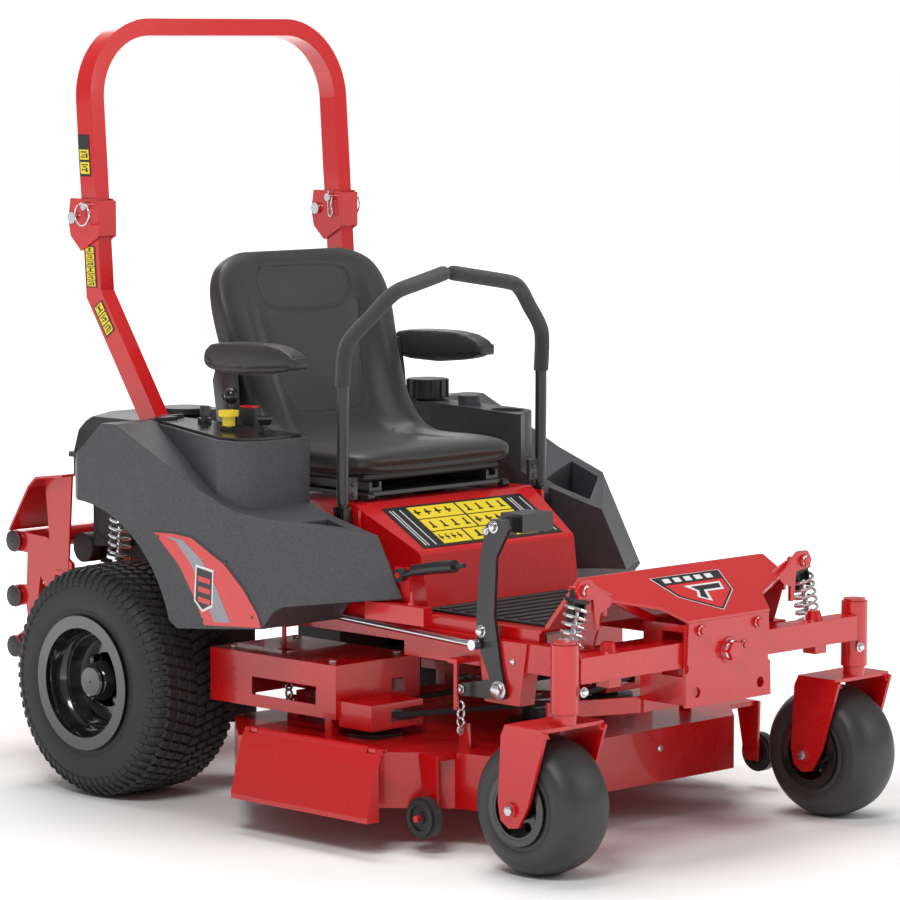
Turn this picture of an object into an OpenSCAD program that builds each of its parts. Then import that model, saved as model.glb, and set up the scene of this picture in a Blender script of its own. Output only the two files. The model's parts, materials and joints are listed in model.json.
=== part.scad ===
// Zero turn riding mower, made of separate pieces on a suspended chassis.
// Millimetres. +Z is up, the machine faces -Y and the operator's right hand is -X.
// The origin is on the ground, in the middle of the machine's length and width.
// Stations along Y are counted from a working datum, and place() moves them to the origin.

/* [Wheels] */
// Distance from the rear axle forward to the caster axles
wheelbase = 1271; // [1255:1:1285]
// Station of the rear axle
rear_axle_y = 370; // [365:1:375]
// Rear tyre radius
rear_r = 254; // [248:1:257]
// Rear tyre width
rear_w = 250; // [230:1:252]
// Distance between the middles of the rear tyres
rear_track = 880; // [874:2:900]
// Radius at which the rear tyre sits on its rim
rear_bead_r = 127; // [120:1:130]
// Caster tyre radius
caster_r = 140; // [134:1:142]
// Caster tyre width
caster_w = 146; // [140:1:150]
// Distance between the middles of the caster tyres
caster_track = 890; // [880:2:900]
// Distance from a caster's swivel axis back to its wheel axle
caster_trail = 59; // [54:1:62]
// Radius at which the caster tyre sits on its rim
caster_bead_r = 64; // [60:1:66]

/* [Chassis] */
// Distance from the centre plane to the middle of each main rail
rail_x = 300; // [298:1:302]
// Width of the main rail tube
rail_w = 38; // [34:1:40]
// Height of the main rail tube
rail_h = 60; // [50:1:62]
// Top of the front stretch of the main rails
rail_top = 430; // [428:1:432]
// How far the rear stretch of the rails is kicked up
rail_kick = 30; // [28:1:32]
// Thickness of the sheet steel panels
sheet = 5; // [4:0.5:6]

/* [Roll bar] */
// Distance from the centre plane to the middle of each roll bar post
rops_x = 369; // [368:1:371]
// Width of the roll bar tube, across the machine
rops_w = 38; // [36:1:40]
// Depth of the roll bar tube, along the machine
rops_d = 51; // [48:1:52]
// Height of the top of the roll bar
rops_top = 1695; // [1660:5:1700]
// Lean of the upper bar towards the rear
rops_lean = 4; // [3:0.5:4.5]
// Height of the joint where the upper bar folds
rops_split_z = 1253; // [1245:1:1260]

/* [Seat and controls] */
// Width of the seat cushion
seat_w = 500; // [470:5:505]
// Distance from the centre plane to each control lever
lever_x = 302; // [300:1:304]
// Radius of the control lever tube
lever_r = 12.7; // [11:0.1:13]
// Radius of the foam grip on the control lever
grip_r = 16.5; // [15:0.5:18]
// Distance from the centre plane to the middle of each armrest
armrest_x = 285; // [285:1:288]
// Width of an armrest
armrest_w = 50; // [44:1:50]

/* [Deck] */
// Half of the deck's width
deck_half = 560; // [556:1:562]
// Height of the deck's lower edge above the ground
deck_low = 85; // [82:1:88]
// Height of the deck's top plate
deck_top = 200; // [196:1:204]
// Length of each blade
blade_len = 370; // [350:2:372]
// Distance from the centre plane to the outer blades
blade_x = 355; // [350:1:358]

/* [Fits] */
// Radial clearance of every shaft in its bore
run_fit = 0.06; // [0.02:0.01:0.1]

/* [Hidden] */
$fn = 48;

// Places that follow from the driving sizes
rear_x = rear_track / 2;
caster_x = caster_track / 2;
caster_y = rear_axle_y - wheelbase;
post_y = caster_y - caster_trail;
plate_y = post_y - 38;
guard_y = 920;
guard_r = 25;
mid_y = -((caster_y - caster_r) + (guard_y + guard_r)) / 2;
rail_in = rail_x - rail_w / 2;
rail_out = rail_x + rail_w / 2;
rail_rear_top = rail_top + rail_kick;

// Colours
red = [0.78, 0.05, 0.07];
black = [0.05, 0.05, 0.055];
char = [0.2, 0.2, 0.21];
steel = [0.72, 0.72, 0.73];

module place() {
  translate([0, mid_y, 0]) children();
}

// A piece and its mirror image on the other side
module pair() {
  children();
  mirror([1, 0, 0]) children();
}

// A block between two opposite corners
module block(a, b) {
  translate([min(a.x, b.x), min(a.y, b.y), min(a.z, b.z)])
    cube([abs(b.x - a.x), abs(b.y - a.y), abs(b.z - a.z)]);
}

// A side outline [y, z], as thick as the span from x0 to x1
module side_plate(outline, x0, x1) {
  translate([x0, 0, 0]) rotate([90, 0, 90]) linear_extrude(x1 - x0) polygon(outline);
}

// A front outline [x, z], as thick as the span from y0 to y1
module front_plate(outline, y0, y1) {
  translate([0, y1, 0]) rotate([90, 0, 0]) linear_extrude(y1 - y0) polygon(outline);
}

// A plan outline [x, y], as thick as the span from z0 to z1
module plan_plate(outline, z0, z1) {
  translate([0, 0, z0]) linear_extrude(z1 - z0) polygon(outline);
}

// A round bar between two points
module bar(p, q, r) {
  v = q - p;
  len = norm(v);
  translate(p) rotate([0, acos(v.z / len), atan2(v.y, v.x)]) cylinder(h = len, r = r);
}

// A round bar along X, or along Y
module bar_x(x0, x1, y, z, r) {
  translate([x0, y, z]) rotate([0, 90, 0]) cylinder(h = x1 - x0, r = r);
}
module bar_y(x, y0, y1, z, r) {
  translate([x, y1, z]) rotate([90, 0, 0]) cylinder(h = y1 - y0, r = r);
}

// A bolt head with a washer, its axis along Y and its face towards the front
module front_bolt(x, y, z, r) {
  bar_y(x, y - 3, y, z, r * 1.25);
  translate([x, y - 3, z]) rotate([90, 0, 0]) cylinder(h = r * 0.8, r = r * 0.95, $fn = 6);
}

// A ring about X: half its section is drawn by the children, radius along X and width along Y
module turn_x(x) {
  translate([x, 0, 0]) rotate([0, 90, 0]) rotate_extrude($fn = 96) children();
}

// ---- Main frame -------------------------------------------------------------------------

brace_y = 66;
rear_pivot_y = 80;
rear_pivot_z = 410;
rear_pivot_r = 10;
shock_x = 272;
rear_shock_top = [shock_x, 575, 628];
rear_shock_low = [shock_x, 592, 462];
shock_pin_r = 7;
lever_y = -175;
lever_z = 630;
lever_pin_r = 8;
lever_in = 276;
lift_pivot = [-318, -669, 329];
lift_pin_r = 9;
chain_x = 351;
brake_pivot = [-346, -396, 541];
brake_pin_r = 6;

module main_frame() {
  tower = [
    [20, 402], [88, 402], [88, 452], [rear_shock_top.y - 30, 590], [rear_shock_top.y + 32, 602],
    [rear_shock_top.y + 32, 652], [rear_shock_top.y - 40, 652], [20, 458]
  ];
  color(red) {
    pair() {
      block([rail_in, plate_y + 128, rail_top - rail_h], [rail_out, -380, rail_top]);
      block([rail_in, -420, rail_rear_top - rail_h], [rail_out, 90, rail_rear_top]);
      side_plate(tower, rail_x, rail_x + 8);
      bar_x(shock_x - 17, rail_x, rear_shock_top.y, rear_shock_top.z, shock_pin_r);
      block([rail_out - 1, brace_y, rail_top - 2], [rops_x + rops_w / 2, brace_y + 76, rail_rear_top - 2]);
      block([rail_out - 1, -200, 444], [fender_in, -150, 452]);
      lift_arm(-578, rail_top - 55);
      lift_arm(-60, rail_rear_top - rail_h - 2);
      block([rail_in - 20, -360, rail_top], [rail_in + 1, 40, rail_rear_top - 6]);
      difference() {
        side_plate([[-215, 500], [-135, 500], [-145, 655], [-205, 655]], lever_in, lever_in + 8);
        bar_x(lever_in - 1, lever_in + 9, lever_y, 600, 6);
      }
      block([lever_in, -215, rail_rear_top - 8], [lever_in + 8, -135, 510]);
      bar_x(lever_in + 1, lever_in + 19, lever_y, lever_z, lever_pin_r);
    }
    block([-rail_in - 1, plate_y + 120, rail_top - 40], [rail_in + 1, plate_y + 150, rail_top]);
    block([-rail_out, plate_y + 120, rail_top - 40], [rail_out, plate_y + 129, rail_top]);
    block([-rail_in - 1, -420, rail_top - 50], [rail_in + 1, -380, rail_top]);
    block([-rail_in - 1, -60, rail_top - 20], [rail_in + 1, -20, rail_rear_top - 8]);
    bar_x(-rail_in - 2, rail_in + 2, rear_pivot_y, rear_pivot_z, rear_pivot_r);
    difference() {
      side_plate([[-720, 300], [-620, 300], [-600, rail_top], [-740, rail_top]], -rail_out - 5, -rail_in);
      bar_x(-rail_out - 6, -rail_in + 1, -700, 390, 6);
    }
    bar_x(lift_pivot.x - 22, lift_pivot.x + 2, lift_pivot.y, lift_pivot.z, lift_pin_r);
    side_plate([[-420, 455], [-350, 455], [-372, 556], [-412, 556]], -338, -330);
    block([-338, -420, 444], [-rail_out + 2, -350, rail_rear_top]);
    bar_x(brake_pivot.x - 10, -331, brake_pivot.y, brake_pivot.z, brake_pin_r);
  }
}

// Arm beside the top link of a deck chain, and its shelf on the rail
module lift_arm(y, z) {
  block([chain_x + 2.9, y + 3.5, 280], [chain_x + 8, y + 13, z + 8]);
  block([rail_out - 1, y + 3.5, z], [chain_x + 8, y + 30, z + 10]);
}

// ---- Front box that carries the axle pivot ----------------------------------------------

axle_z = 412;
axle_pin_r = 12;
box_half = 127;
box_back = plate_y + 120;

module front_box() {
  face = [
    [-123, 478], [123, 478], [127, 395], [122, 390], [122, 382], [129, 376], [131, 306],
    [-131, 306], [-129, 376], [-122, 382], [-122, 390], [-127, 395]
  ];
  color(red) {
    difference() {
      front_plate(face, plate_y, plate_y + 8);
      for (s = [-1, 1]) {
        bar_y(s * 98, plate_y - 1, plate_y + 9, 335, 11);
        bar_y(s * 87, plate_y - 1, plate_y + 9, 460, 6);
      }
    }
    for (s = [-1, 1])
      difference() {
        block([s * (box_half - 8), plate_y + 7, 310], [s * box_half, box_back, 474]);
        block([s * (box_half - 10), plate_y + 12, axle_z - 44], [s * (box_half + 2), plate_y + 70, axle_z + 46]);
      }
    block([-box_half, box_back - 8, 310], [box_half, box_back, 474]);
    pair() side_plate([[plate_y + 118, 284], [plate_y + 128, 284], [plate_y + 128, 380], [plate_y + 118, 380]],
      20, box_half);
  }
  color(steel) {
    bar_y(0, plate_y - 2, box_back - 4, axle_z, axle_pin_r);
    front_bolt(0, plate_y, axle_z, 22);
    front_bolt(44, plate_y, axle_z + 6, 8);
    for (s = [-1, 1]) front_bolt(s * 87, plate_y, 460, 10);
  }
  color(char) pair() front_bars();
}

// Grey flat bars that run back and outwards from the box
module front_bars() {
  difference() {
    plan_plate([
      [66, plate_y + 122], [140, plate_y + 122], [328, plate_y + 196], [325, plate_y + 204],
      [138, plate_y + 130], [66, plate_y + 130]
    ], 284, 317);
    bar_y(100, plate_y + 110, plate_y + 140, 300, 6);
  }
}

// ---- Footrest cover with the shock towers -----------------------------------------------

ridge_y = plate_y + 155;
ridge_z = 570;
ear_y = plate_y + 86;
bump_x = 317;
front_shock_top = [336, post_y + 62, 556];
front_shock_low = [375, post_y + 62, 400];

module front_cover() {
  fold = [
    [plate_y, 478], [plate_y, 484], [ridge_y - 4, ridge_z], [ridge_y + 4, ridge_z], [ridge_y + 96, 462],
    [ridge_y + 96, 455], [ridge_y + 88, 455], [ridge_y, ridge_z - 7]
  ];
  outline = [
    [-126, plate_y], [126, plate_y], [155, plate_y + 46], [280, plate_y + 94], [280, ridge_y + 100],
    [-280, ridge_y + 100], [-280, plate_y + 94], [-155, plate_y + 46]
  ];
  ear = [
    [250, 530], [282, 548], [318, 577], [348, 577], [360, 560], [354, 541], [312, 536], [304, 474],
    [294, 474], [294, 505], [268, 515]
  ];
  color(red) {
    intersection() {
      side_plate(fold, -280, 280);
      plan_plate(outline, 440, 600);
    }
    pair() {
      difference() {
        front_plate(ear, ear_y, ear_y + 8);
        bar_y(front_shock_top.x, ear_y - 1, ear_y + 9, front_shock_top.z, 6);
      }
      front_plate([[118, 474], [140, 474], [300, 548], [292, 560], [118, 484]], ear_y + 8, ear_y + 14);
      side_plate([[ear_y, 500], [ridge_y, 500], [ridge_y, 562], [ear_y, 534]], 272, 278);
      side_plate([[plate_y + 120, rail_top], [ridge_y + 2, rail_top], [ridge_y + 2, 560], [ear_y + 8, 505]], 274, 280);
    }
  }
  color(steel) pair() {
    bar_y(front_shock_top.x, ear_y - 1, ear_y + 42, front_shock_top.z, 6);
    front_bolt(front_shock_top.x, ear_y, front_shock_top.z, 11);
  }
}

// ---- Foot pan and mat -------------------------------------------------------------------

pan_z = 455;

module foot_pan() {
  color(red) difference() {
    union() {
      block([-296, ridge_y + 90, pan_z - sheet], [296, -350, pan_z]);
      pair() block([280, ridge_y + 96, rail_top], [296, -420, pan_z]);
    }
    pair() block([258, -421, pan_z - 30], [297, -340, pan_z + 5]);
  }
}

module foot_mat() {
  color(black) {
    block([-250, ridge_y + 104, pan_z], [250, -372, pan_z + 5]);
    for (i = [0:8]) block([-236, ridge_y + 124 + i * 38, pan_z + 4], [236, ridge_y + 138 + i * 38, pan_z + 8]);
  }
}

// ---- Seat console -----------------------------------------------------------------------

console_top = 664;

module console_cover() {
  outer = [
    [-362, pan_z], [-343, 568], [-338, 574], [-182, console_top - 2], [-174, console_top],
    [150, console_top], [150, pan_z]
  ];
  inner = [
    [-355, pan_z - 1], [-337, 566], [-179, console_top - sheet - 2], [144, console_top - sheet],
    [144, pan_z - 1]
  ];
  plan = [[-230, -364], [230, -364], [272, -176], [272, 151], [-272, 151], [-272, -176]];
  hollow = [[-225, -360], [225, -360], [267, -176], [267, 146], [-267, 146], [-267, -176]];
  color(red) difference() {
    intersection() {
      side_plate(outer, -272, 272);
      plan_plate(plan, pan_z, console_top + 1);
    }
    intersection() {
      side_plate(inner, -268, 268);
      plan_plate(hollow, pan_z - 2, console_top);
    }
  }
}

// ---- Fenders ----------------------------------------------------------------------------

fender_out = 562;
fender_in = 342;
arch_y = 398;
arch_z = 327;
arch_r = 326;
tower_z = 822;
wall = 6;
tub_floor = 530;

// Side outline of the wing, drawn in by t
function wing_side(t) = [
  [480 - t, 655], [454 - t, 706 - t], [362 - t, 776 - t], [305, 825 - t], [258, 825 - t], [144, 775 - t],
  [16, 717 - t], [-78, 684 - t], [-162, 654 - t], [-300, 622 - t], [-420, 600 - t], [-420, 492 + t],
  [-330, 486 + t], [-250, 478 + t], [-206, 430 + t], [-20, 412 + t], [60, 405 + t]
];

// Plan outline of the wing
function wing_plan(t) = [
  [fender_in + t, 480 - t], [470, 480 - t], [530 - t, 430 - t], [fender_out - t, 385], [fender_out - t, -420],
  [fender_in + t, -420]
];

// Slanting cut that makes the wing's front face, moved back by t
module wing_nose(t) {
  translate([352, -317 + t, 619]) rotate([0, 0, 38]) rotate([-25, 0, 0]) translate([-200, -400, -320])
    cube([700, 400, 600]);
}

// Plan outline of a tower with a round front corner of radius r about a centre
function tower_plan(t, centre, r, front) = concat(
  [[fender_in + t, 400 - t], [404, 400 - t]],
  [for (a = [0:15:90]) [centre.x + (r - t) * cos(a), centre.y - (r - t) * sin(a)]],
  [[fender_in + t, front + t]]
);

// Side outline of the tower
function tower_side(t) = [
  [400 - t, 655], [400 - t, 745 - t], [330 - t, tower_z - t], [200, tower_z - 2 - t],
  [-122 + t, tower_z - 14 - t], [-192 + t, 640 - t], [-192 + t, 560 + t], [60, 560]
];

cup = [385, 5];
cup_r = 38;
right_corner = [475, -50];
right_corner_r = 70;
left_corner_r = cup_r + 16;
tub_right = [[372, -206], [446, -206], [372, -262]];
tub_left = [[372, -262], [372, -128], [440, -96], [528, -60], [528, -142]];

module fender(centre, r, front, tub) {
  difference() {
    union() {
      difference() {
        intersection() {
          side_plate(wing_side(0), fender_in, fender_out);
          plan_plate(wing_plan(0), 380, 860);
        }
        wing_nose(0);
      }
      intersection() {
        side_plate(tower_side(0), fender_in, fender_out);
        plan_plate([for (p = tower_plan(0, centre, r, front)) [p.x, p.y + (p.y < 0 ? -34 : 0)]], 560, 650);
      }
      intersection() {
        side_plate(tower_side(0), fender_in, fender_out);
        plan_plate(tower_plan(0, centre, r, front), 600, 860);
      }
    }
    bar_x(fender_in - 1, fender_out + 1, arch_y, arch_z, arch_r);
    intersection() {
      side_plate(wing_side(wall), fender_in - 1, fender_out);
      plan_plate([for (p = wing_plan(wall)) [p.x - (p.x < fender_in + 10 ? 14 : 0), p.y]], 380, 700);
      block([fender_in - 2, -60, 380], [fender_out, 500, 700]);
    }
    intersection() {
      side_plate(tower_side(wall), fender_in - 1, fender_out);
      plan_plate(tower_plan(wall, centre, r, front), 600, 860);
    }
    plan_plate(tub, tub_floor, 760);
    translate([rops_x, 330, 800]) cube([rops_w + 8, 120, 260], center = true);
  }
}

filler = [380, 258];
vent = [376, 118];

panel_outline = [
  [fender_in + 8, 305], [428, 305], [526, -30], [516, -80], [470, -104], [fender_in + 8, -104]
];

module fender_right() {
  color(char) mirror([1, 0, 0]) difference() {
    fender(right_corner, right_corner_r, -118, tub_right);
    plan_plate(panel_outline, tower_z - 30, tower_z + 5);
  }
}

module fender_left() {
  color(char) {
    difference() {
      fender(cup, left_corner_r, -78, tub_left);
      translate([cup.x, cup.y, tower_z - 90]) cylinder(h = 120, r = cup_r);
    }
    difference() {
      translate([cup.x, cup.y, tower_z - 86]) cylinder(h = 76, r = cup_r + 4);
      translate([cup.x, cup.y, tower_z - 80]) cylinder(h = 80, r = cup_r);
    }
    difference() {
      translate([filler.x, filler.y, tower_z - 4]) cylinder(h = 29.7, r = 30);
      translate([filler.x, filler.y, tower_z - 5]) cylinder(h = 32, r = 24);
    }
    translate([vent.x, vent.y, tower_z - 8]) cylinder(h = 26, r = 26);
  }
}

// ---- Control panel ----------------------------------------------------------------------

panel_z = tower_z + 4;

module control_panel() {
  color(black) mirror([1, 0, 0]) {
    difference() {
      union() {
        intersection() {
          plan_plate(panel_outline, tower_z - 20, panel_z + 2);
          side_plate([
            [305, tower_z - 0.4], [305, panel_z], [200, panel_z], [-104, panel_z - 11], [-104, tower_z - 13.3],
            [200, tower_z - 2]
          ], fender_in, fender_out);
        }
        block([396, 242, panel_z - 1], [442, 268, panel_z + 7]);
        block([352, 272, panel_z - 1], [398, 300, panel_z + 7]);
        translate([398, 153, panel_z - 6]) cylinder(h = 16, r = 15);
        translate([pto.x, pto.y, panel_z - 14]) cylinder(h = 14, r = 20);
        translate([choke.x, choke.y, panel_z - 16]) cylinder(h = 12, r = 14);
      }
      translate([398, 153, panel_z - 20]) cylinder(h = 40, r = key_r + run_fit);
      translate([pto.x, pto.y, panel_z - 40]) cylinder(h = 60, r = knob_stem_r + run_fit);
      translate([choke.x, choke.y, panel_z - 40]) cylinder(h = 60, r = knob_stem_r + run_fit);
      block([362, 62, panel_z - 40], [374, 140, panel_z + 20]);
      translate([rops_x, 330, 800]) cube([rops_w + 8, 90, 260], center = true);
    }
    difference() {
      block([354, 90, tower_z - 34], [361.5, 112, tower_z - 1]);
      bar_x(350, 370, 100, throttle_z, throttle_pin_r + run_fit);
    }
  }
}

pto = [437, 32];
choke = [413, -55];
knob_stem_r = 6;
key_r = 7;
throttle_z = tower_z - 22;
throttle_pin_r = 4;

module pto_knob() {
  color([0.95, 0.78, 0.05]) translate([-pto.x, pto.y, panel_z]) {
    translate([0, 0, -24]) cylinder(h = 40, r = knob_stem_r);
    translate([0, 0, 3]) cylinder(h = 22, r = 14);
    translate([0, 0, 24]) cylinder(h = 12, r = 22);
  }
}

module choke_knob() {
  color(black) translate([-choke.x, choke.y, panel_z - 8]) {
    translate([0, 0, -20]) cylinder(h = 40, r = knob_stem_r);
    translate([0, 0, 18]) cylinder(h = 12, r1 = 12, r2 = 18);
    translate([0, 0, 30]) cylinder(h = 6, r = 18);
  }
}

module ignition_key() {
  color(steel) translate([-398, 153, panel_z]) {
    translate([0, 0, -12]) cylinder(h = 26, r = key_r);
    translate([-11, -3, 12]) cube([22, 6, 24]);
  }
}

module throttle_lever() {
  color(black) mirror([1, 0, 0]) {
    bar_x(355, 368, 100, throttle_z, throttle_pin_r);
    bar([368, 100, throttle_z], [368, 100, panel_z + 52], 4);
    translate([368, 100, panel_z + 60]) sphere(r = 15);
  }
}

// ---- Roll bar ---------------------------------------------------------------------------

rops_mid = 543;
hinge_y = rops_mid + rops_d / 2 + 21;
hinge_pin_r = 8;
leg_bend = [rops_mid - 12, 1085];
leg_base = [97, 446];

module leaning() {
  translate([0, rops_mid, rops_split_z]) rotate([-rops_lean, 0, 0]) translate([0, -rops_mid, -rops_split_z])
    children();
}

// Station of the post's face d behind its middle, at height z, above the bend and below it
function lean_at(d, z) = rops_mid + d / cos(rops_lean) + (z - rops_split_z) * tan(rops_lean);
leg_run = leg_bend - leg_base;
leg_slope = leg_run.x / leg_run.y;
function slant_at(d, z) = leg_base.x + d * norm(leg_run) / leg_run.y + (z - leg_base.y) * leg_slope;
function bend_z(d) = (lean_at(d, 0) - slant_at(d, 0)) / (leg_slope - tan(rops_lean));

module rops_legs() {
  hd = rops_d / 2;
  foot = rail_rear_top - 2;
  tip = hd * sin(rops_lean);
  post = [
    [slant_at(-hd, foot), foot], [lean_at(-hd, bend_z(-hd)), bend_z(-hd)],
    [lean_at(-hd, rops_split_z + tip), rops_split_z + tip - 0.4],
    [lean_at(hd, rops_split_z - tip), rops_split_z - tip - 0.4],
    [lean_at(hd, bend_z(hd)), bend_z(hd)], [slant_at(hd, foot), foot]
  ];
  color(red) pair() difference() {
    union() {
      side_plate(post, rops_x - rops_w / 2, rops_x + rops_w / 2);
      for (s = [-1, 1]) side_plate([
        [rops_mid - hd - 10, 1212], [rops_mid + hd - 2, 1180], [hinge_y + 12, 1212], [hinge_y + 20, 1250],
        [hinge_y + 12, 1296], [rops_mid - hd - 4, 1296]
      ], rops_x + s * (rops_w / 2 + 3.6) - 3, rops_x + s * (rops_w / 2 + 3.6) + 3);
      block([rops_x - rops_w / 2 - 6.6, rops_mid - hd - 12, 1214], [rops_x + rops_w / 2 + 6.6, rops_mid - hd - 4, 1292]);
      block([rops_x - rops_w / 2 - 2, rops_mid - hd - 6, 1214], [rops_x + rops_w / 2 + 2, rops_mid - hd + 10, 1240]);
    }
    bar_x(rops_x - 40, rops_x + 40, hinge_y, rops_split_z, hinge_pin_r + run_fit);
    bar_x(rops_x - 40, rops_x + 40, rops_mid - 2, 1280, 7);
  }
}

module rops_pins() {
  color(steel) pair() {
    bar_x(rops_x - 34, rops_x + 34, hinge_y, rops_split_z, hinge_pin_r);
    bar_x(rops_x - 34, rops_x - 26.5, hinge_y, rops_split_z, 13);
    bar_x(rops_x + 26.5, rops_x + 34, hinge_y, rops_split_z, 13);
    bar_x(rops_x + 26.5, rops_x + 40, rops_mid - 2, 1280, 9);
    bar_x(rops_x - 40, rops_x - 26.5, rops_mid - 2, 1280, 9);
  }
}

bow_r = 180;

module rops_hoop() {
  top = rops_top - 3;
  hd = rops_d / 2;
  color(red) difference() {
    union() {
      leaning() {
        pair() {
          block([rops_x - rops_w / 2, rops_mid - hd, rops_split_z], [rops_x + rops_w / 2, rops_mid + hd, top - bow_r]);
          translate([rops_x + rops_w / 2 - bow_r, rops_mid + hd, top - bow_r]) rotate([90, 0, 0])
            rotate_extrude(angle = 90, $fn = 96) translate([bow_r - rops_w, -0]) square([rops_w, rops_d]);
        }
        block([-(rops_x + rops_w / 2 - bow_r), rops_mid - hd, top - rops_w], [rops_x + rops_w / 2 - bow_r, rops_mid + hd, top]);
      }
      pair() {
        bar_x(rops_x - rops_w / 2, rops_x + rops_w / 2, hinge_y, rops_split_z, 15);
        block([rops_x - rops_w / 2, rops_mid + hd - 4, rops_split_z], [rops_x + rops_w / 2, hinge_y, rops_split_z + 15]);
      }
    }
    pair() {
      bar_x(rops_x - 40, rops_x + 40, hinge_y, rops_split_z, hinge_pin_r + run_fit);
      bar_x(rops_x - 40, rops_x + 40, rops_mid - 2, 1280, 7);
    }
  }
}

module fuel_cap() {
  color(black) translate([filler.x, filler.y, tower_z + 4]) difference() {
    union() {
      cylinder(h = 44, r = 46);
      for (i = [0:11]) rotate(i * 30) translate([45, -4, 2]) cube([5, 8, 40]);
    }
    translate([0, 0, -1]) cylinder(h = 23, r = 36);
  }
}

// ---- Engine, drive and rear frame -------------------------------------------------------

engine_y = 690;

module engine_block() {
  color([0.3, 0.3, 0.31]) {
    block([-150, 575, 442], [150, 800, 560]);
    translate([0, engine_y, 556]) cylinder(h = 90, r = 105);
    translate([0, engine_y, 300]) cylinder(h = 145, r = 14);
    translate([0, engine_y, 306]) cylinder(h = 46, r = pulley_r);
    for (s = [-1, 1]) translate([s * 130, 745, 545]) rotate([0, 0, -s * 30]) for (i = [0:5])
      translate([s * i * 13 - 4, -45, -55]) cube([6, 90, 105]);
    for (s = [-1, 1]) translate([s * 130, 745, 545]) rotate([0, 0, -s * 30])
      rotate([0, s * 90, 0]) cylinder(h = 74, r = 38);
  }
  color(steel) {
    bar_x(-190, 190, 815, 478, 34);
    bar([150, 790, 500], [150, 815, 478], 14);
    bar([-150, 790, 500], [-150, 815, 478], 14);
  }
}

module air_cleaner() {
  color(black) {
    intersection() {
      front_plate([
        [-206, 646], [-206, 700], [-196, 752], [-166, 782], [-120, 792], [120, 792], [166, 782],
        [196, 752], [206, 700], [206, 646]
      ], 626, 826);
      side_plate([
        [626, 644], [632, 770], [652, 794], [790, 794], [816, 772], [826, 700], [826, 644]
      ], -210, 210);
    }
    block([-214, 618, 690], [214, 834, 702]);
    translate([0, engine_y - 20, 788]) cylinder(h = 14, r = 60);
  }
}

hub_face = 372;
axle_r = 16;

module transaxles() {
  color([0.24, 0.24, 0.25]) pair() {
    block([130, rear_axle_y - 80, rear_r - 70], [262, rear_axle_y + 60, rear_r + 90]);
    block([180, rear_axle_y - 60, rear_r + 88], [262, rear_axle_y + 40, 381]);
    bar_x(262, 296, rear_axle_y, rear_r, 58);
    translate([165, rear_axle_y - 40, rear_r - 120]) cylinder(h = 52, r = 55);
  }
  color(steel) pair() {
    bar_x(290, hub_face + 42, rear_axle_y, rear_r, axle_r);
    bar_x(hub_face + 36, hub_face + 46, rear_axle_y, rear_r, axle_r + 9);
  }
}

module rear_frame() {
  arm = [
    [800, 380], [835, 420], [868, 250], [guard_y, 226], [guard_y + 24, 250], [guard_y, 275],
    [880, 300], [888, 352], [guard_y + 6, 344], [guard_y + 22, 367], [guard_y + 6, 392], [886, 396],
    [882, 470], [guard_y + 4, 472], [guard_y + 22, 495], [guard_y, 518], [812, 512], [723, 458],
    [723, 430], [780, 430]
  ];
  shield = [
    [908, 522], [837, 627], [812, 648], [719, 659], [719, 664], [815, 653], [841, 631], [913, 524]
  ];
  color(red) difference() {
    union() {
      pair() {
        block([225, rear_pivot_y - 20, 381], [263, 845, 430]);
        side_plate(arm, 290, 300);
        block([262, 770, 430], [291, 842, 440]);
        side_plate([[560, 428], [625, 428], [608, 480], [576, 480]], 240, 248);
        bar_x(240, rear_shock_low.x + 18, rear_shock_low.y, rear_shock_low.z, shock_pin_r);
        side_plate([[735, 438], [800, 505], [815, 648], [719, 660]], 296, 301);
        block([262, 720, 428], [301, 780, 440]);
        side_plate(shield, 216, 330);
      }
      block([-226, 500, 421], [226, 840, 430]);
      block([-148, 580, 429], [148, 790, 442]);
      block([-262, 800, 381], [262, 842, 429]);
      for (z = [250, 367, 495]) bar_x(-301, 301, guard_y, z, guard_r - 1);
      bar_x(-278, 278, rear_pivot_y, rear_pivot_z, 24);
    }
    bar_x(-279, 279, rear_pivot_y, rear_pivot_z, rear_pivot_r + run_fit);
    translate([0, engine_y, 415]) cylinder(h = 30, r = 20);
  }
  color(black) for (z = [250, 367, 495]) pair() bar_x(300, 312, guard_y, z, guard_r);
}

// ---- Shock absorbers --------------------------------------------------------------------

coil_r = 24;
wire_r = 3.6;

// Upper half of a shock absorber from its top eye towards its low end
module shock_body(top, low, body) {
  d = (low - top) / norm(low - top);
  difference() {
    bar(top, top + d * body, 19.5);
    bar(top + d * 26, top + d * (body + 1), 15.5);
  }
  bar(top + d * 17, top + d * 24, coil_r + 3.6);
}

// Lower half: rod, seat ring and low eye
module shock_rod(top, low, body) {
  d = (top - low) / norm(low - top);
  gap = norm(low - top) - body;
  bar(low, low + d * (gap + 19), 6);
  bar(low + d * 20, low + d * 27, coil_r + 3.6);
  bar(low, low + d * 20, 14);
}

front_body = 62;
rear_body = 70;

module shock_bodies() {
  color([0.86, 0.86, 0.87]) pair() {
    difference() {
      shock_body(front_shock_top, front_shock_low, front_body);
      bar_y(front_shock_top.x, ear_y, ear_y + 42, front_shock_top.z, shock_pin_r - 1);
      block(front_shock_top + [-60, -60, -70], [front_shock_top.x + 60, ear_y + 8, front_shock_top.z + 30]);
    }
    difference() {
      shock_body(rear_shock_top, rear_shock_low, rear_body);
      bar_x(shock_x - 40, shock_x + 40, rear_shock_top.y, rear_shock_top.z, shock_pin_r);
    }
  }
}

module front_shock_rods() {
  color(steel) pair() {
    shock_rod(front_shock_top, front_shock_low, front_body);
    bar_y(front_shock_low.x, post_y + 22, front_shock_low.y + 14, front_shock_low.z, 8);
  }
}

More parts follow.
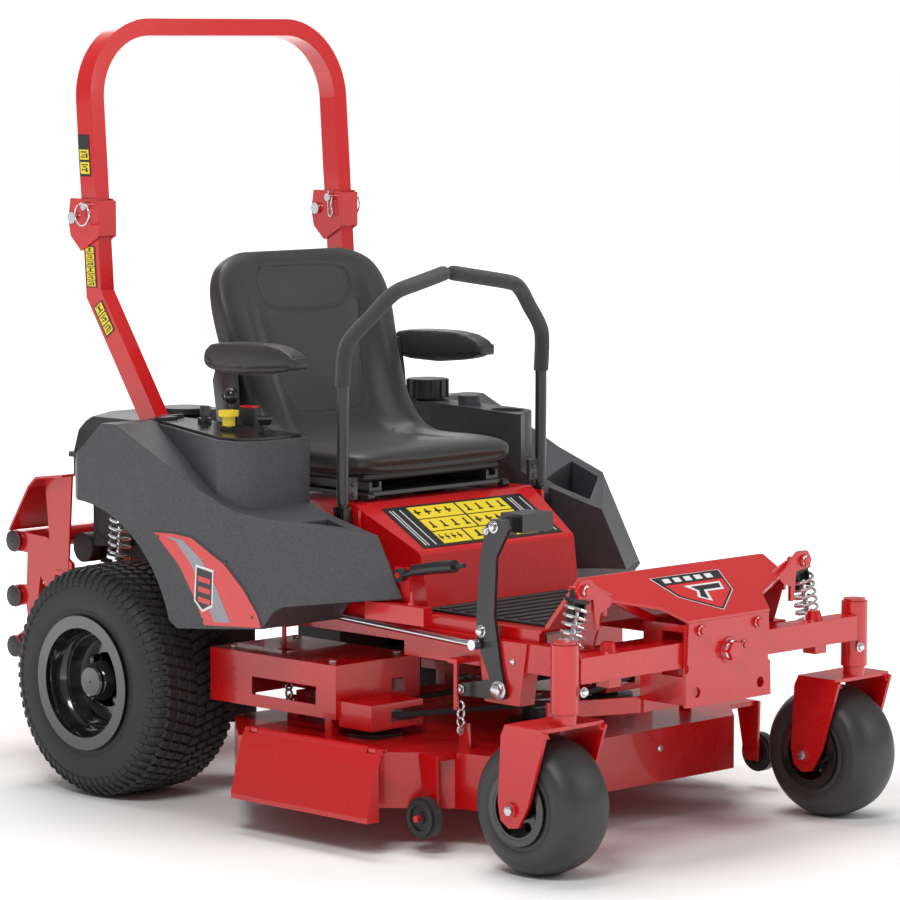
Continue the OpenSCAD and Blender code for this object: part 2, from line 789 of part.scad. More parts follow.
module rear_shock_rods() {
  color(steel) pair() difference() {
    shock_rod(rear_shock_top, rear_shock_low, rear_body);
    bar_x(shock_x - 40, shock_x + 40, rear_shock_low.y, rear_shock_low.z, shock_pin_r);
  }
}

// Points of a coil wound round the Z axis, and the faces that close it
function coil_points(turns, height, steps, sides) = [
  for (i = [0:steps]) let (a = 360 * turns * i / steps, z = height * i / steps)
    for (k = [0:sides - 1]) let (b = 360 * k / sides)
      [(coil_r + wire_r * cos(b)) * cos(a), (coil_r + wire_r * cos(b)) * sin(a), z + wire_r * sin(b)]
];
function coil_faces(steps, sides) = concat(
  [[for (k = [0:sides - 1]) k]],
  [for (i = [0:steps - 1]) for (k = [0:sides - 1]) let (n = (k + 1) % sides)
    [i * sides + k, (i + 1) * sides + k, (i + 1) * sides + n, i * sides + n]],
  [[for (k = [sides - 1:-1:0]) steps * sides + k]]
);

module coil(top, low) {
  v = top - low;
  len = norm(v);
  steps = 72;
  turns = 6;
  translate(low) rotate([0, acos(v.z / len), atan2(v.y, v.x)]) translate([0, 0, 31])
    polyhedron(coil_points(turns, len - 59, steps, 6), coil_faces(steps, 6), convexity = 8);
}

module front_springs() {
  color([0.9, 0.9, 0.9]) pair() coil(front_shock_top, front_shock_low);
}

module rear_springs() {
  color([0.9, 0.9, 0.9]) pair() coil(rear_shock_top, rear_shock_low);
}

// ---- Front axle and casters -------------------------------------------------------------

post_r = 28.5;
post_low = 329;
post_top = 466;
spindle_r = 12.7;
beam_h = 52;

module front_axle_beam() {
  color(red) {
    difference() {
      union() {
        block([-caster_x + 20, post_y - 25, axle_z - beam_h / 2], [caster_x - 20, post_y + 25, axle_z + beam_h / 2]);
        pair() translate([caster_x, post_y, post_low]) cylinder(h = post_top - post_low, r = post_r);
        bar_y(0, post_y - 29, post_y + 29, axle_z, 24);
        pair() block([360, post_y + 24, 384], [390, post_y + 34, 416]);
      }
      pair() translate([caster_x, post_y, post_low - 1]) cylinder(h = post_top - post_low + 2, r = spindle_r + run_fit);
      bar_y(0, post_y - 30, post_y + 30, axle_z, axle_pin_r + run_fit);
      pair() bar_y(front_shock_low.x, post_y + 20, post_y + 40, front_shock_low.z, 8);
    }
  }
  color(black) pair() {
    translate([bump_x, post_y + 4, axle_z + beam_h / 2 - 1]) cylinder(h = 20, r1 = 19, r2 = 13);
    block([bump_x - 18, post_y - 16, axle_z - beam_h / 2 - 18], [bump_x + 18, post_y + 18, axle_z - beam_h / 2 + 1]);
  }
}

module caster_fork(x) {
  half = caster_w / 2 + 8;
  leg = [
    [post_y - 32, 300], [post_y - 14, 306], [caster_y + 20, 306], [caster_y + 30, 286],
    [caster_y + 38, 150], [caster_y + 30, 116], [caster_y + 8, 102], [caster_y - 18, 106], [caster_y - 44, 150]
  ];
  color(red) {
    pair_at(x) side_plate(leg, half, half + 8);
    block([x - half - 8, post_y - 22, 300], [x + half + 8, caster_y + 20, 308]);
    pair_at(x) side_plate([[post_y - 30, 290], [caster_y + 29, 290], [caster_y + 20, 307], [post_y - 20, 307]], half - 8, half + 1);
    translate([x, post_y, 307]) cylinder(h = post_low - 308, r = 24);
  }
  color(steel) {
    translate([x, post_y, 308]) cylinder(h = post_top - 306, r = spindle_r);
    translate([x, post_y, post_top + 0.6]) cylinder(h = 5, r = 24);
    bar_x(x - half - 16, x + half + 16, caster_y, caster_r, 9);
    pair_at(x) bar_x(half + 8, half + 14, caster_y, caster_r, 15);
  }
}

// A piece on both sides of the plane at x
module pair_at(x) {
  translate([x, 0, 0]) pair() children();
}

module round_tyre(r, w, bead, round_r, carcass) {
  difference() {
    union() {
      translate([bead, -w / 2 + round_r]) square([r - bead, w - 2 * round_r]);
      translate([bead, -w / 2]) square([r - bead - round_r, w]);
      for (s = [-1, 1]) translate([r - round_r, s * (w / 2 - round_r)]) circle(r = round_r, $fn = 64);
    }
    translate([bead - 1, -w / 2 + 2 * carcass]) square([r - bead - carcass + 1, w - 4 * carcass]);
  }
}

module caster_tyre(x) {
  color(char) translate([0, caster_y, caster_r]) turn_x(x)
    round_tyre(caster_r, caster_w, caster_bead_r, 38, 12);
}

module caster_rim(x) {
  w = caster_w;
  color(black) translate([x, caster_y, caster_r]) difference() {
    union() {
      turn_x(0) {
        translate([caster_bead_r - 8, -w / 2 + 6]) square([7.6, w - 12]);
        for (s = [-1, 1]) translate([caster_bead_r - 2, s * (w / 2 + 2.5) - 2.2]) square([12, 4.4]);
        for (s = [-1, 1]) translate([caster_bead_r - 8, s * (w / 2 - 2) - 6]) square([7.6, 12]);
        translate([22, -w / 2 + 30]) square([caster_bead_r - 28, 8]);
        translate([22, w / 2 - 38]) square([caster_bead_r - 28, 8]);
      }
      bar_x(-w / 2 + 2, w / 2 - 2, 0, 0, 24);
    }
    bar_x(-w / 2 - 1, w / 2 + 1, 0, 0, 9 + run_fit);
    for (a = [0:60:300]) rotate([a, 0, 0]) bar_x(-w / 2 - 1, w / 2 + 1, 0, 40, 9);
  }
}

module rear_tyre(x) {
  color(black) translate([0, rear_axle_y, rear_r]) turn_x(x)
    round_tyre(rear_r, rear_w, rear_bead_r, 44, 12);
}

// Rim with its disc set back, drawn with its outer side towards +X
module rear_rim() {
  w = rear_w;
  disc = hub_face - rear_x;
  color(black) translate([rear_x, rear_axle_y, rear_r]) difference() {
    union() {
      turn_x(0) {
        translate([rear_bead_r - 7, -w / 2 + 14]) square([6.6, w - 28]);
        for (s = [-1, 1]) translate([rear_bead_r - 7, s * (w / 2 + 2.2) - 2]) square([27, 4]);
        for (s = [-1, 1]) translate([rear_bead_r - 7, s * (w / 2 - 8) - 9]) square([6.6, 18]);
        translate([30, disc]) square([rear_bead_r - 33, 7]);
      }
      bar_x(disc - 26, disc + 34, 0, 0, 36);
    }
    bar_x(disc - 27, disc + 35, 0, 0, axle_r + run_fit);
    for (a = [0:72:288]) rotate([a, 0, 0]) bar_x(disc - 2, disc + 9, 0, 92, 13);
  }
  color(steel) translate([rear_x, rear_axle_y, rear_r]) for (a = [45:90:315]) rotate([a, 0, 0]) {
    bar_x(disc + 6, disc + 18, 0, 58, 11);
  }
}

// ---- Control levers ---------------------------------------------------------------------

swing_z = 652;
swing_pin_r = 6;

module control_lever() {
  tube = [
    [lever_x, lever_y - 1, 668], [lever_x, lever_y - 3, 920], [lever_x - 5, lever_y - 9, 1002],
    [180, lever_y - 43, 1113], [9, lever_y - 12, 1146]
  ];
  color(black) {
    difference() {
      union() {
        for (i = [0:3]) bar(tube[i], tube[i + 1], i < 1 ? lever_r : grip_r);
        for (i = [2:3]) translate(tube[i]) sphere(r = grip_r + 1.5);
        block([lever_x - 8.6, lever_y - 7.5, swing_z], [lever_x + 8.6, lever_y + 7.5, 672]);
        bar_y(lever_x, lever_y - 7.5, lever_y + 7.5, swing_z, 8.6);
        block([262, lever_y - 5, 674], [lever_x, lever_y + 2, 720]);
      }
      bar_y(lever_x, lever_y - 9, lever_y + 9, swing_z, swing_pin_r + run_fit);
    }
  }
  color(steel) for (z = [684, 710]) front_bolt(278, lever_y - 5, z, 7);
}

module lever_pivot() {
  color(black) {
    difference() {
      union() {
        block([lever_in + 9, lever_y - 15, lever_z - 40], [lever_in + 17, lever_y + 15, lever_z + 12]);
        block([lever_in + 9, lever_y - 16, lever_z - 42], [lever_x + 12, lever_y + 16, lever_z - 16]);
        for (s = [-1, 1]) block([lever_x - 11, lever_y + s * 8, lever_z - 20], [lever_x + 11, lever_y + s * 16, swing_z + 9]);
      }
      bar_x(lever_in + 8, lever_in + 32, lever_y, lever_z, lever_pin_r + run_fit);
      block([lever_in + 17, lever_y - 8, lever_z - 15], [lever_x + 13, lever_y + 8, lever_z + 40]);
    }
    bar_y(lever_x, lever_y - 16, lever_y + 16, swing_z, swing_pin_r);
  }
}

// ---- Seat -------------------------------------------------------------------------------

seat_low = 716;
rail_seat_z = console_top + 0.6;

module seat() {
  bucket = [
    [-150, seat_low], [-166, 738], [-158, 762], [-120, 776], [20, 766], [150, 782], [196, 830],
    [226, 930], [262, 1060], [290, 1160], [310, 1178], [346, 1176], [350, 1140], [322, 1000], [292, 860],
    [240, 750], [200, seat_low]
  ];
  cushion = [
    [-160, seat_low], [-166, 740], [-158, 762], [-120, 792], [130, 812], [196, 860], [236, 1010],
    [262, 1080], [292, 860], [240, 750], [200, seat_low]
  ];
  color(char) {
    side_plate(bucket, -seat_w / 2 + 52, seat_w / 2 - 52);
    pair() side_plate(cushion, seat_w / 2 - 54, seat_w / 2);
    pair() front_plate([[190, 900], [seat_w / 2 - 4, 900], [seat_w / 2 - 8, 1100], [190, 1160]], 296, 330);
  }
  color(black) {
    pair() side_plate([[190, 740], [270, 760], [290, 900], [262, 976], [218, 976], [205, 900]], seat_w / 2 - 1, seat_w / 2 + 8);
    pair() bar_x(seat_w / 2 + 7, armrest_x - armrest_w / 2 + 4, arm_pivot.x, arm_pivot.y, 7);
    block([-200, -140, 704], [200, 220, seat_low]);
    pair() block([168, -130, 692], [188, 210, 705]);
    pair() block([210, 80, 705], [262, 140, seat_low]);
  }
}

arm_pivot = [235, 950];

module seat_rails() {
  color(black) {
    block([-215, -158, rail_seat_z + 10], [215, 215, rail_seat_z + 18]);
    pair() difference() {
      block([160, -148, rail_seat_z + 17], [196, 213, 703.4]);
      block([167.6, -149, 691.6], [188.4, 214, 706]);
    }
    pair() {
      bar_x(196, 215, -156, rail_seat_z + 9, 9.3);
      block([180, 180, rail_seat_z - 0.3], [212, 212, rail_seat_z + 11]);
    }
  }
}

module armrest(side) {
  pad = [
    [arm_pivot.x + 26, 952], [arm_pivot.x + 18, 978], [arm_pivot.x - 20, 990], [60, 994], [0, 988],
    [-30, 968], [-22, 946], [20, 930], [130, 922], [arm_pivot.x - 10, 924], [arm_pivot.x + 18, 934]
  ];
  color(char) mirror([side < 0 ? 1 : 0, 0, 0]) difference() {
    side_plate(pad, armrest_x - armrest_w / 2, armrest_x + armrest_w / 2);
    bar_x(armrest_x - armrest_w / 2 - 1, armrest_x - armrest_w / 2 + 12, arm_pivot.x, arm_pivot.y, 7 + run_fit);
  }
}

// ---- Deck -------------------------------------------------------------------------------

deck_front = -700;
chute_hinge = [deck_half - 8, deck_top + 13];
hinge_rod_r = 5;
chute_front = -560;
chute_back = -150;
blade_y = -325;
blade_mid_y = -455;
housing_r = 30;
shaft_r = 12;
pulley_r = 60;
scalp_near = [-474, -597, 76];
scalp_far = [568, -594, 82];
scalp_r = 43;
scalp_bolt_r = 7;

function deck_plan(t) = [
  [-370 + t, deck_front + t], [360 - t, deck_front + t], [deck_half - t, -500], [deck_half - t, -130],
  [400 - t, 60 - t], [-400 + t, 60 - t], [-deck_half + t, -130], [-deck_half + t, -425], [-395 + t, -605]
];

module deck_shell() {
  color(red) {
    difference() {
      plan_plate(deck_plan(0), deck_low, deck_top);
      plan_plate(deck_plan(sheet), deck_low - 1, deck_top - sheet);
      block([-deck_half - 1, chute_front + 34, deck_low - 1], [-deck_half + sheet + 1, chute_back - 40, deck_top - 22]);
      for (s = [-1, 0, 1]) translate([s * blade_x, s == 0 ? blade_mid_y : blade_y, deck_top - sheet - 1])
        cylinder(h = sheet + 2, r = housing_r + 0.2);
    }
    pair() for (y = [-578, -60]) difference() {
      side_plate([[y - 16, deck_top - 2], [y + 16, deck_top - 2], [y + 12, 252], [y - 12, 252]], 336, 342);
      bar_x(335, 343, y, 238, 6);
    }
    block([scalp_near.x + 19, scalp_near.y - 12, deck_top - 12], [-390, scalp_near.y + 30, deck_top]);
    side_plate([[-612, deck_top], [-560, deck_top], [scalp_near.y + 18, 60], [scalp_near.y - 18, 60]],
      scalp_near.x + 19, scalp_near.x + 26);
    block([430, scalp_far.y - 12, deck_top - 10], [scalp_far.x - 22, scalp_far.y + 30, deck_top]);
    side_plate([[-616, deck_top], [-550, deck_top], [scalp_far.y + 18, 66], [scalp_far.y - 18, 66]],
      scalp_far.x - 30, scalp_far.x - 23);
    for (y = [chute_front + 18, chute_back - 38])
      block([-chute_hinge.x - 7, y, deck_top - 1], [-chute_hinge.x + 7, y + 20, deck_top + 20]);
  }
  color(steel) {
    bar_x(scalp_near.x - 26, scalp_near.x + 20, scalp_near.y, scalp_near.z, scalp_bolt_r);
    bar_x(scalp_far.x - 24, scalp_far.x + 26, scalp_far.y, scalp_far.z, scalp_bolt_r);
    for (y = [chute_front + 20, chute_back - 78]) bar_y(-chute_hinge.x, y, y + 58, chute_hinge.y, hinge_rod_r);
  }
}

module scalp_wheel(at) {
  color(black) translate([at.x, at.y, at.z]) difference() {
    union() {
      turn_x(0) {
        translate([scalp_bolt_r + run_fit, -16]) square([scalp_r - 15, 32]);
        translate([scalp_r - 9, -10]) square([9, 20]);
        translate([scalp_r - 14, -16]) square([8, 32]);
      }
    }
    for (s = [-1, 1]) difference() {
      bar_x(s > 0 ? 11 : -17, s > 0 ? 17 : -11, 0, 0, 26);
      bar_x(-20, 20, 0, 0, 13);
    }
  }
}

module belt_covers() {
  color(red) pair() difference() {
    block([195, -300, 236], [440, 92, 350]);
    block([199, -296, 232], [436, 88, 346]);
    block([434, -240, 262], [442, -40, 300]);
    block([chain_x - 11, -72, 340], [chain_x + 14, -34, 352]);
    block([240, -302, 276], [278, -294, 306]);
    block([286, -302, 230], [428, -294, 268]);
    block([194, -302, 230], [290, -270, 262]);
    block([194, -272, 230], [201, -250, 262]);
  }
  color(red) pair() difference() {
    block([282, -398, 222], [432, -300, 276]);
    block([286, -394, 220], [428, -298, 272]);
    block([280, -400, 236], [330, -299, 262]);
    block([328, -400, 236], [374, -390, 262]);
  }
  color(steel) pair() for (y = [-260, 50]) for (x = [225, 410])
    translate([x, y, 350]) cylinder(h = 7, r = 8, $fn = 6);
  color(red) pair() {
    block([199, 20, deck_top], [230, 48, 237]);
    block([414, -282, deck_top], [436, -262, 237]);
  }
}

module discharge_chute() {
  flap = [
    [-chute_hinge.x + 8, deck_top + 19], [-chute_hinge.x - 6, deck_top + 20], [-574, 184], [-600, 84], [-600, 74],
    [-593, 74], [-593, 84], [-568, 181], [-chute_hinge.x - 9, deck_top + 10], [-chute_hinge.x + 8, deck_top + 13]
  ];
  cheek = [[-568, deck_top - 12], [-574, 184], [-600, 84], [-600, 74], [-566, 74]];
  color(red) difference() {
    union() {
      front_plate(flap, chute_front, chute_back);
      front_plate(cheek, chute_front, chute_front + 4);
      front_plate(cheek, chute_back - 4, chute_back);
      bar_y(-chute_hinge.x, chute_front + 41, chute_back - 41, chute_hinge.y, 9);
    }
    bar_y(-chute_hinge.x, chute_front - 1, chute_back + 1, chute_hinge.y, hinge_rod_r + run_fit);
    for (y = [chute_front + 16, chute_back - 41]) block([-chute_hinge.x - 10, y, 190], [-chute_hinge.x + 10, y + 25, 230]);
  }
}

module blade_at(x, y) {
  color([0.55, 0.55, 0.56]) translate([x, y, 0]) {
    translate([0, 0, 112]) cylinder(h = 150, r = shaft_r);
    rotate(20) translate([-blade_len / 2, -28, 106]) difference() {
      cube([blade_len, 56, 6]);
      for (s = [0, 1]) translate([s * (blade_len + 2) - 1, s == 0 ? -1 : 40, -1]) translate([s == 0 ? 0 : -70, 0, 0]) cube([70, 18, 8]);
    }
    translate([0, 0, 100]) cylinder(h = 14, r = 22);
    translate([0, 0, 240]) cylinder(h = 18, r = pulley_r);
  }
}

module spindle_housings() {
  color([0.3, 0.3, 0.31]) for (s = [-1, 0, 1]) translate([s * blade_x, s == 0 ? blade_mid_y : blade_y, 0])
    difference() {
      union() {
        translate([0, 0, 138]) cylinder(h = 92, r = housing_r);
        translate([0, 0, deck_top]) cylinder(h = 8, r = 62);
      }
      translate([0, 0, 130]) cylinder(h = 110, r = shaft_r + run_fit);
    }
}

module drive_belts() {
  ring = [[0, blade_mid_y], [blade_x, blade_y], [-blade_x, blade_y]];
  color(black) translate([0, 0, 243]) difference() {
    linear_extrude(11) hull() for (p = ring) translate(p) circle(r = pulley_r + 8, $fn = 32);
    translate([0, 0, -1]) linear_extrude(13) hull() for (p = ring) translate(p) circle(r = pulley_r + 0.5, $fn = 32);
  }
}

// ---- Deck lift --------------------------------------------------------------------------

module lift_pedal() {
  lever = [
    [lift_pivot.y - 20, 318], [lift_pivot.y - 8, 310], [lift_pivot.y + 8, 309], [-562, 306], [-548, 316],
    [-560, 332], [-642, 348], [-608, 420], [-603, 470], [-615, 600], [-631, 664], [-648, 678],
    [-688, 676], [-696, 660], [-660, 600], [-654, 480], [-672, 380]
  ];
  color(black) {
    difference() {
      side_plate(lever, lift_pivot.x - 14, lift_pivot.x - 6);
      bar_x(lift_pivot.x - 30, lift_pivot.x, lift_pivot.y, lift_pivot.z, lift_pin_r + run_fit);
    }
    block([lift_pivot.x - 8, -672, 644], [-284, -640, 676]);
    block([-286, -690, 648], [-196, -628, 686]);
  }
  color(steel) {
    bar_x(lift_pivot.x - 18, lift_pivot.x - 5, -617, 445, 9);
    bar_x(lift_pivot.x - 19, lift_pivot.x - 5, -560, 319, 7);
    bar_x(lift_pivot.x - 18, lift_pivot.x - 4, -652, 662, 9);
  }
}

module lift_rod() {
  color(steel) {
    bar([-346, -610, 418], [-330, -110, 436], 7);
    bar_x(-355, -337.8, -612, 418, 11);
    bar_x(-340, -319.3, -110, 436, 9);
  }
}

module height_selector() {
  color(red) difference() {
    block([-382, -501, 447], [-356, -327, 485]);
    block([-378, -497, 440], [-360, -331, 481]);
    for (y = [-480:26:-350]) translate([-369, y, 470]) cylinder(h = 30, r = 5);
  }
  color(red) block([-357, -420, 449], [-338, -380, 459]);
  color(steel) {
    translate([-369, -454, 470]) cylinder(h = 44, r = 4.6);
    translate([-369, -454, 485]) cylinder(h = 8, r = 9);
  }
}

module lift_chains() {
  color(black) pair() for (y = [-578, -60]) {
    for (i = [0:3]) translate([chain_x, y, 238 + i * 17]) rotate([0, 0, i % 2 * 90]) rotate([90, 0, 0])
      rotate_extrude($fn = 24) translate([9, 0]) circle(r = 2.6, $fn = 16);
    bar_x(342, chain_x, y, 238, 5);
  }
}

module parking_brake() {
  color(black) difference() {
    union() {
      bar_x(brake_pivot.x - 7, brake_pivot.x + 7, brake_pivot.y, brake_pivot.z, 14);
      bar(brake_pivot + [0, -10, 2], [-346, -480, 563], 7.5);
      bar([-346, -436, 554], [-346, -500, 566], 12.5);
    }
    bar_x(brake_pivot.x - 9, brake_pivot.x + 9, brake_pivot.y, brake_pivot.z, brake_pin_r + run_fit);
  }
  color([0.4, 0.4, 0.41]) bar([-346, -498, 566], [-346, -556, 574], 13.5);
  color(black) bar([-346, -555, 574], [-346, -584, 578], 5);
}

place() main_frame();
place() front_box();
place() front_cover();
place() foot_pan();
place() foot_mat();
place() console_cover();
place() fender_right();
place() fender_left();
place() control_panel();
place() rops_legs();
place() rops_pins();
place() rops_hoop();
place() fuel_cap();
place() engine_block();
place() air_cleaner();
place() transaxles();
place() rear_frame();
place() shock_bodies();
place() front_shock_rods();
place() rear_shock_rods();
place() front_springs();
place() rear_springs();
place() front_axle_beam();
place() caster_fork(-caster_x);  // caster_fork_right
place() caster_fork(caster_x);  // caster_fork_left
place() caster_tyre(-caster_x);  // caster_tyre_right
place() caster_tyre(caster_x);  // caster_tyre_left
place() caster_rim(-caster_x);  // caster_rim_right
place() caster_rim(caster_x);  // caster_rim_left
place() rear_tyre(-rear_x);  // rear_tyre_right
place() rear_tyre(rear_x);  // rear_tyre_left
place() mirror([1, 0, 0]) rear_rim();  // rear_rim_right
place() rear_rim();  // rear_rim_left
place() mirror([1, 0, 0]) control_lever();  // control_lever_right
place() control_lever();  // control_lever_left
place() mirror([1, 0, 0]) lever_pivot();  // lever_pivot_right
place() lever_pivot();  // lever_pivot_left
place() seat();
place() seat_rails();
place() armrest(-1);  // armrest_right
place() armrest(1);  // armrest_left
place() deck_shell();
place() belt_covers();
place() discharge_chute();
place() blade_at(-blade_x, blade_y);  // blade_right
place() blade_at(0, blade_mid_y);  // blade_center
place() blade_at(blade_x, blade_y);  // blade_left
place() spindle_housings();
place() drive_belts();
place() scalp_wheel(scalp_near);  // scalp_wheel_right
place() scalp_wheel(scalp_far);  // scalp_wheel_left
place() lift_pedal();
place() lift_rod();
place() height_selector();
place() lift_chains();
place() parking_brake();
place() throttle_lever();
place() pto_knob();
place() choke_knob();
place() ignition_key();
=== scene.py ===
"""Dresses the packed frame of a zero turn mower: finishes, seat, grips, tyres, labels and studio."""

import json
import math

import bpy
import numpy as np
from mathutils import Matrix, Vector


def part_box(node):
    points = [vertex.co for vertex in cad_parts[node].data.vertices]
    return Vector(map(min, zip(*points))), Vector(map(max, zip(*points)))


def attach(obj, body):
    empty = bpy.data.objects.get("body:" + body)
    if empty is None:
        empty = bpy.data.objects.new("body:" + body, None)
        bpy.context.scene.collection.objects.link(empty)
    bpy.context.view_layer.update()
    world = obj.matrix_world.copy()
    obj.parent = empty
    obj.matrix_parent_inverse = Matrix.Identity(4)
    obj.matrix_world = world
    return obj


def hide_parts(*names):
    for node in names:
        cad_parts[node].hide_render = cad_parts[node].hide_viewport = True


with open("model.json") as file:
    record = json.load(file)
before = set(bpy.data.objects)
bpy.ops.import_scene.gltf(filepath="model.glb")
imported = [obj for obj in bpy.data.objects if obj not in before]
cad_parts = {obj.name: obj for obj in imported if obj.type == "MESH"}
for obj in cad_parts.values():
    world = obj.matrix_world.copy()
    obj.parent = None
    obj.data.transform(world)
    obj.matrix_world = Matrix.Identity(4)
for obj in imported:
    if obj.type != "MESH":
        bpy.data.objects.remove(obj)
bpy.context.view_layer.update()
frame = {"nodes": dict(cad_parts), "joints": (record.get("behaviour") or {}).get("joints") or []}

bl_info = {
    "name": "Zero Turn Mower Dresser",
    "version": (1, 0, 0),
    "blender": (4, 5, 0),
    "location": "3D View > Sidebar > Mower",
    "description": "Finishes, soft pieces, tyres and labels for a riding mower frame",
    "category": "Object",
}

MM = 0.001
JOINTS = {j["name"]: j for j in frame["joints"]}
# The frame's stations are counted from the rear axle, which stands 370 mm behind the datum.
DATUM = JOINTS["rear_wheel_spin_right"]["pos_m"][1] / MM - 370
# Outer face of the rear wheel's disc, from the centre plane
DISC_FACE = 499


def at(x, y, z):
    """A point given in working millimetres, in metres in the row frame."""
    return Vector((x * MM, (y + DATUM) * MM, z * MM))


# ---------------------------------------------------------------- sizes and colours


def size(name, text, default):
    return bpy.props.FloatProperty(name=name, description=text, default=default, min=0, unit="LENGTH")


def colour(name, text, default):
    return bpy.props.FloatVectorProperty(
        name=name, description=text, default=default, size=3, min=0, max=1, subtype="COLOR"
    )


class MowerPaint(bpy.types.PropertyGroup):
    red: colour("Powder coat", "Colour of the powder-coated steel", (0.6, 0.003, 0.005))
    moulded: colour("Moulded plastic", "Colour of the fender mouldings", (0.046, 0.047, 0.052))
    vinyl: colour("Seat vinyl", "Colour of the seat cover", (0.024, 0.0225, 0.022))
    label: colour("Label yellow", "Colour of the safety labels", (0.86, 0.66, 0.02))


class MowerSizes(bpy.types.PropertyGroup):
    tread_depth: size("Tread depth", "Height of the rear tyre's blocks", 0.009)
    grip_radius: size("Grip radius", "Radius of the foam lever grips", 0.0165)
    lever_radius: size("Lever radius", "Radius of the lever tube", 0.0127)
    label_thickness: size("Label thickness", "Thickness of the stuck-on labels", 0.0006)


# ---------------------------------------------------------------- node groups


def group(name, inputs, outputs):
    tree = bpy.data.node_groups.new(name, "ShaderNodeTree")
    for label, kind, default in inputs:
        s = tree.interface.new_socket(name=label, in_out="INPUT", socket_type=kind)
        if default is not None:
            s.default_value = default
    for label, kind in outputs:
        tree.interface.new_socket(name=label, in_out="OUTPUT", socket_type=kind)
    return tree, tree.nodes.new("NodeGroupInput"), tree.nodes.new("NodeGroupOutput")


def noise(tree, vector, scale, detail=2.0, rough=0.5):
    n = tree.nodes.new("ShaderNodeTexNoise")
    n.inputs["Detail"].default_value = detail
    n.inputs["Roughness"].default_value = rough
    tree.links.new(vector, n.inputs["Vector"])
    if isinstance(scale, (int, float)):
        n.inputs["Scale"].default_value = scale
    else:
        tree.links.new(scale, n.inputs["Scale"])
    return n.outputs["Fac"]


def math_node(tree, kind, a, b=None, clamp=False):
    n = tree.nodes.new("ShaderNodeMath")
    n.operation = kind
    n.use_clamp = clamp
    for i, v in enumerate((a, b)):
        if v is None:
            continue
        if isinstance(v, (int, float)):
            n.inputs[i].default_value = v
        else:
            tree.links.new(v, n.inputs[i])
    return n.outputs[0]


def mixed(tree, factor, a, b):
    n = tree.nodes.new("ShaderNodeMix")
    n.data_type = "RGBA"
    tree.links.new(factor, n.inputs[0])
    for i, v in ((6, a), (7, b)):
        if isinstance(v, tuple):
            n.inputs[i].default_value = v
        else:
            tree.links.new(v, n.inputs[i])
    return n.outputs[2]


def make_groups():
    """Shared surface effects: uneven tone, pebble grain, orange peel, brushed lines and dust."""
    f, v, c = "NodeSocketFloat", "NodeSocketVector", "NodeSocketColor"
    tree, i, o = group(
        "Uneven Tone",
        [("Vector", v, None), ("Scale", f, 6.0), ("Base", c, (0.5, 0.5, 0.5, 1)), ("Other", c, (0.4, 0.4, 0.4, 1)),
         ("Rough Low", f, 0.3), ("Rough High", f, 0.4)],
        [("Color", c), ("Roughness", f)],
    )
    n = noise(tree, i.outputs["Vector"], i.outputs["Scale"], 5.0, 0.6)
    tree.links.new(mixed(tree, n, i.outputs["Base"], i.outputs["Other"]), o.inputs["Color"])
    span = math_node(tree, "SUBTRACT", i.outputs["Rough High"], i.outputs["Rough Low"])
    rough = math_node(tree, "ADD", i.outputs["Rough Low"], math_node(tree, "MULTIPLY", span, n))
    tree.links.new(rough, o.inputs["Roughness"])

    tree, i, o = group(
        "Pebble Grain", [("Vector", v, None), ("Scale", f, 500.0)], [("Height", f), ("Glint", f)]
    )
    cell = tree.nodes.new("ShaderNodeTexVoronoi")
    tree.links.new(i.outputs["Vector"], cell.inputs["Vector"])
    tree.links.new(i.outputs["Scale"], cell.inputs["Scale"])
    fine = noise(tree, i.outputs["Vector"], i.outputs["Scale"], 3.0, 0.7)
    tree.links.new(math_node(tree, "ADD", cell.outputs["Distance"], fine), o.inputs["Height"])
    bright = math_node(tree, "SUBTRACT", fine, 0.55)
    tree.links.new(math_node(tree, "MULTIPLY", bright, 7.0, True), o.inputs["Glint"])

    tree, i, o = group("Orange Peel", [("Vector", v, None), ("Scale", f, 160.0)], [("Height", f)])
    tree.links.new(noise(tree, i.outputs["Vector"], i.outputs["Scale"], 1.0, 0.4), o.inputs["Height"])

    tree, i, o = group("Brushed Lines", [("Vector", v, None), ("Scale", f, 60.0)], [("Height", f)])
    stretch = tree.nodes.new("ShaderNodeMapping")
    stretch.inputs["Scale"].default_value = (1.0, 1.0, 14.0)
    tree.links.new(i.outputs["Vector"], stretch.inputs["Vector"])
    tree.links.new(noise(tree, stretch.outputs[0], i.outputs["Scale"], 3.0, 0.6), o.inputs["Height"])

    tree, i, o = group(
        "Low Dust", [("Vector", v, None), ("Reach", f, 0.25), ("Amount", f, 0.1)], [("Mask", f)]
    )
    split = tree.nodes.new("ShaderNodeSeparateXYZ")
    tree.links.new(i.outputs["Vector"], split.inputs[0])
    height = math_node(tree, "DIVIDE", split.outputs["Z"], i.outputs["Reach"])
    low = math_node(tree, "SUBTRACT", 1.0, height, True)
    cloud = noise(tree, i.outputs["Vector"], 30.0, 5.0, 0.7)
    mask = math_node(tree, "MULTIPLY", math_node(tree, "MULTIPLY", low, cloud), i.outputs["Amount"])
    tree.links.new(mask, o.inputs["Mask"])


def add_group(tree, name, coordinate, **values):
    n = tree.nodes.new("ShaderNodeGroup")
    n.node_tree = bpy.data.node_groups[name]
    tree.links.new(coordinate, n.inputs["Vector"])
    for key, value in values.items():
        n.inputs[key.replace("_", " ")].default_value = value
    return n


